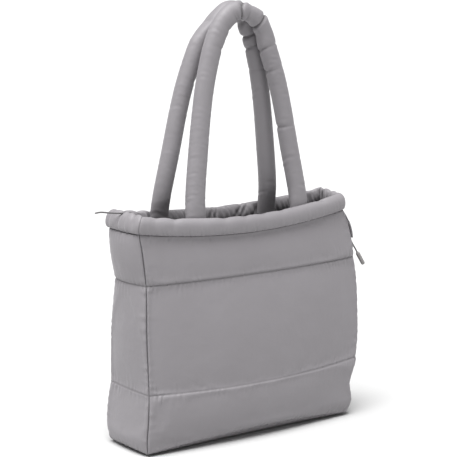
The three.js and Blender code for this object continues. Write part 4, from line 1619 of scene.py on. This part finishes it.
FRONT_GATHERS = (
    Gather(0.06, 1.2, 0.1, 0.25, 0.5), Gather(0.14, 1.5, 0.15, 0.35, 0.6), Gather(0.37, 1.6, 0.15, 0.3, 0.5),
    Gather(0.47, 1.2, 0.05, 0.25, 0.6), Gather(0.56, 1.5, 0.1, 0.2, 0.7), Gather(0.66, 1.2, 0.05, 0.2, 0.5),
    Gather(0.88, 1.4, 0.1, 0.25, 0.6),
)
RIGHT_GATHERS = (
    Gather(0.22, 0.9, 0.3, 0.3, 0.3), Gather(0.5, 1.2, 0.5, 0.45, 0.35), Gather(0.86, 0.9, 0.4, 0.4, 1.2),
)
BACK_GATHERS = (
    Gather(0.05, 1.4, 0.3, 0.3, 0.5), Gather(0.14, 1.6, 0.2, 0.1, 0.4), Gather(0.315, 0.7, 0.2, 0.25, 0.8, -0.6),
    Gather(0.342, 0.7, 0.3, 0.3, 1.2, -0.7), Gather(0.408, 0.5, 0.2, 0.15, 0.7, -0.6),
    Gather(0.435, 0.6, 0.3, 0.3, 0.8, -0.6), Gather(0.5, 1.6, 0.3, 0.2, 0.2), Gather(0.536, 0.5, 0.2, 0.3, 0.6, -0.3),
    Gather(0.56, 0.5, 0.2, 0.15, 0.7, -0.3), Gather(0.64, 0.9, 0.2, 0.5, 0.8, -0.3),
    Gather(0.83, 0.9, 0.3, 0.4, 0.7), Gather(0.89, 0.9, 0.2, 0.55, 0.9), Gather(0.95, 0.8, 0.3, 0.4, 1.0),
)
LEFT_GATHERS = (
    Gather(0.14, 0.7, 0.4, 0.5, 0.9), Gather(0.41, 0.75, 0.4, 0.95, 0.9), Gather(0.6, 0.6, 0.3, 0.35, 0.5),
    Gather(0.8, 0.7, 0.4, 0.55, 0.8),
)

FRONT_CREASES = (
    Crease(0.39, 0.6, 0.0, 0.6), Crease(0.44, 0.6, 0.0, 0.7), Crease(0.487, 1.2, 0.05, 0.6, 0.8),
    Crease(0.505, 2.2, 2.1, 0.48, 0.6, 0.0014, 0.6), Crease(0.52, 1.2, 0.0, 0.5, 0.3, -0.0022),
    Crease(0.532, 0.0, 0.0, spread=1.4, pinch=0.0045), Crease(0.496, 1.1, 0.0, 0.4, 0.9),
    Crease(0.554, 2.1, 2.0, 0.44, 0.1, 0.002, 0.6), Crease(0.579, 0.0, 0.0, peak=-0.0052, spread=1.15),
    Crease(0.617, 1.2, 0.3, 0.45, 0.3), Crease(0.666, 1.0, 0.2, 0.45, 0.1), Crease(0.793, 0.9, 0.1, 0.5),
)
BACK_CREASES = (
    Crease(0.318, 0.5, 0.0, 0.6), Crease(0.447, 0.0, 0.0, peak=-0.008, spread=2.5),
    Crease(0.55, 1.4, 0.3, 1.5), Crease(0.588, 1.9, 0.8, 0.6), Crease(0.616, 1.2, 0.5, 0.5, 0.2),
    Crease(0.666, 0.5, 0.8, 0.5, -0.1),
)


def main() -> None:
    """Build the camera, the cords and every piece in order, then note the sizes."""
    logging.basicConfig(level=logging.INFO, format="%(name)s: %(message)s")
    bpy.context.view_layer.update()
    form = ToteForm()
    Viewpoint().build()
    nylon = PuffedNylon().material()
    braid = BraidedCord().material()
    moulded = MouldedGrey().material()
    thread = SewingThread().material()

    left = Drawcord("drawcord_left", "left_cord", LEFT_CORD, "bare", "loose")
    right = Drawcord("drawcord_right", "right_cord", RIGHT_CORD, "fitting", "hanging")
    for cord in (left, right):
        cord.build(braid)
        LOG.info("%s is %.1f mm long", cord.name, cord.length * 1000)
    route = np.array(RIGHT_CORD) / 1000
    last = route[-1] - route[-2]
    barrel = CordEnd(route[-1], last / np.linalg.norm(last)).build(moulded)
    left.declare()
    right.declare()

    handles = (
        StuffedHandle(form, FRONT, FRONT_CREASES, -0.472, 0.51, -0.02, 1.05, 0.95, shoulder=0.09, seed=11),
        StuffedHandle(form, BACK, BACK_CREASES, -0.595, 0.418, 0.03, 0.94, 0.98, seed=17),
    )
    seats = {handle.face.name: tuple(handle.seat_share(x) for x in handle.legs) for handle in handles}
    stuffed = [
        PaddedBase(form),
        QuiltedWall(form, FRONT, 101, skews=(0.0, -0.5, 0.85)),
        QuiltedWall(form, RIGHT, 203),
        QuiltedWall(form, BACK, 307, skews=(0.0, -0.5, 0.85)),
        QuiltedWall(form, LEFT, 401),
        StuffedRim(form, FRONT, FRONT_GATHERS, seats["front"], gathered=0.02, seed=31),
        StuffedRim(form, RIGHT, RIGHT_GATHERS, gathered=0.02, pleated=0.0005, bulge=0.5, seed=37),
        StuffedRim(form, BACK, BACK_GATHERS, seats["back"], gathered=0.02, pleated=0.0007, seed=41),
        StuffedRim(form, LEFT, LEFT_GATHERS, gathered=0.05, crown=0.0024, pleated=0.0008, seed=43),
        *handles,
    ]
    table = SettlingTable()
    for part in stuffed:
        part.lay_out(table)
        LOG.info("%s laid out, %d faces", part.piece.name, len(part.piece.data.polygons))
    table.settle()
    for part in stuffed:
        part.finish(nylon)
        LOG.info("%s finished, %d faces", part.piece.name, len(part.piece.data.polygons))

    KeeperTab(form).build(nylon)
    for face in FACES:
        QuiltingStitches(form, face).build(thread)
    LOG.info("the tab and the stitches are on")
    Studio().build()


if __name__ == "__main__":
    main()
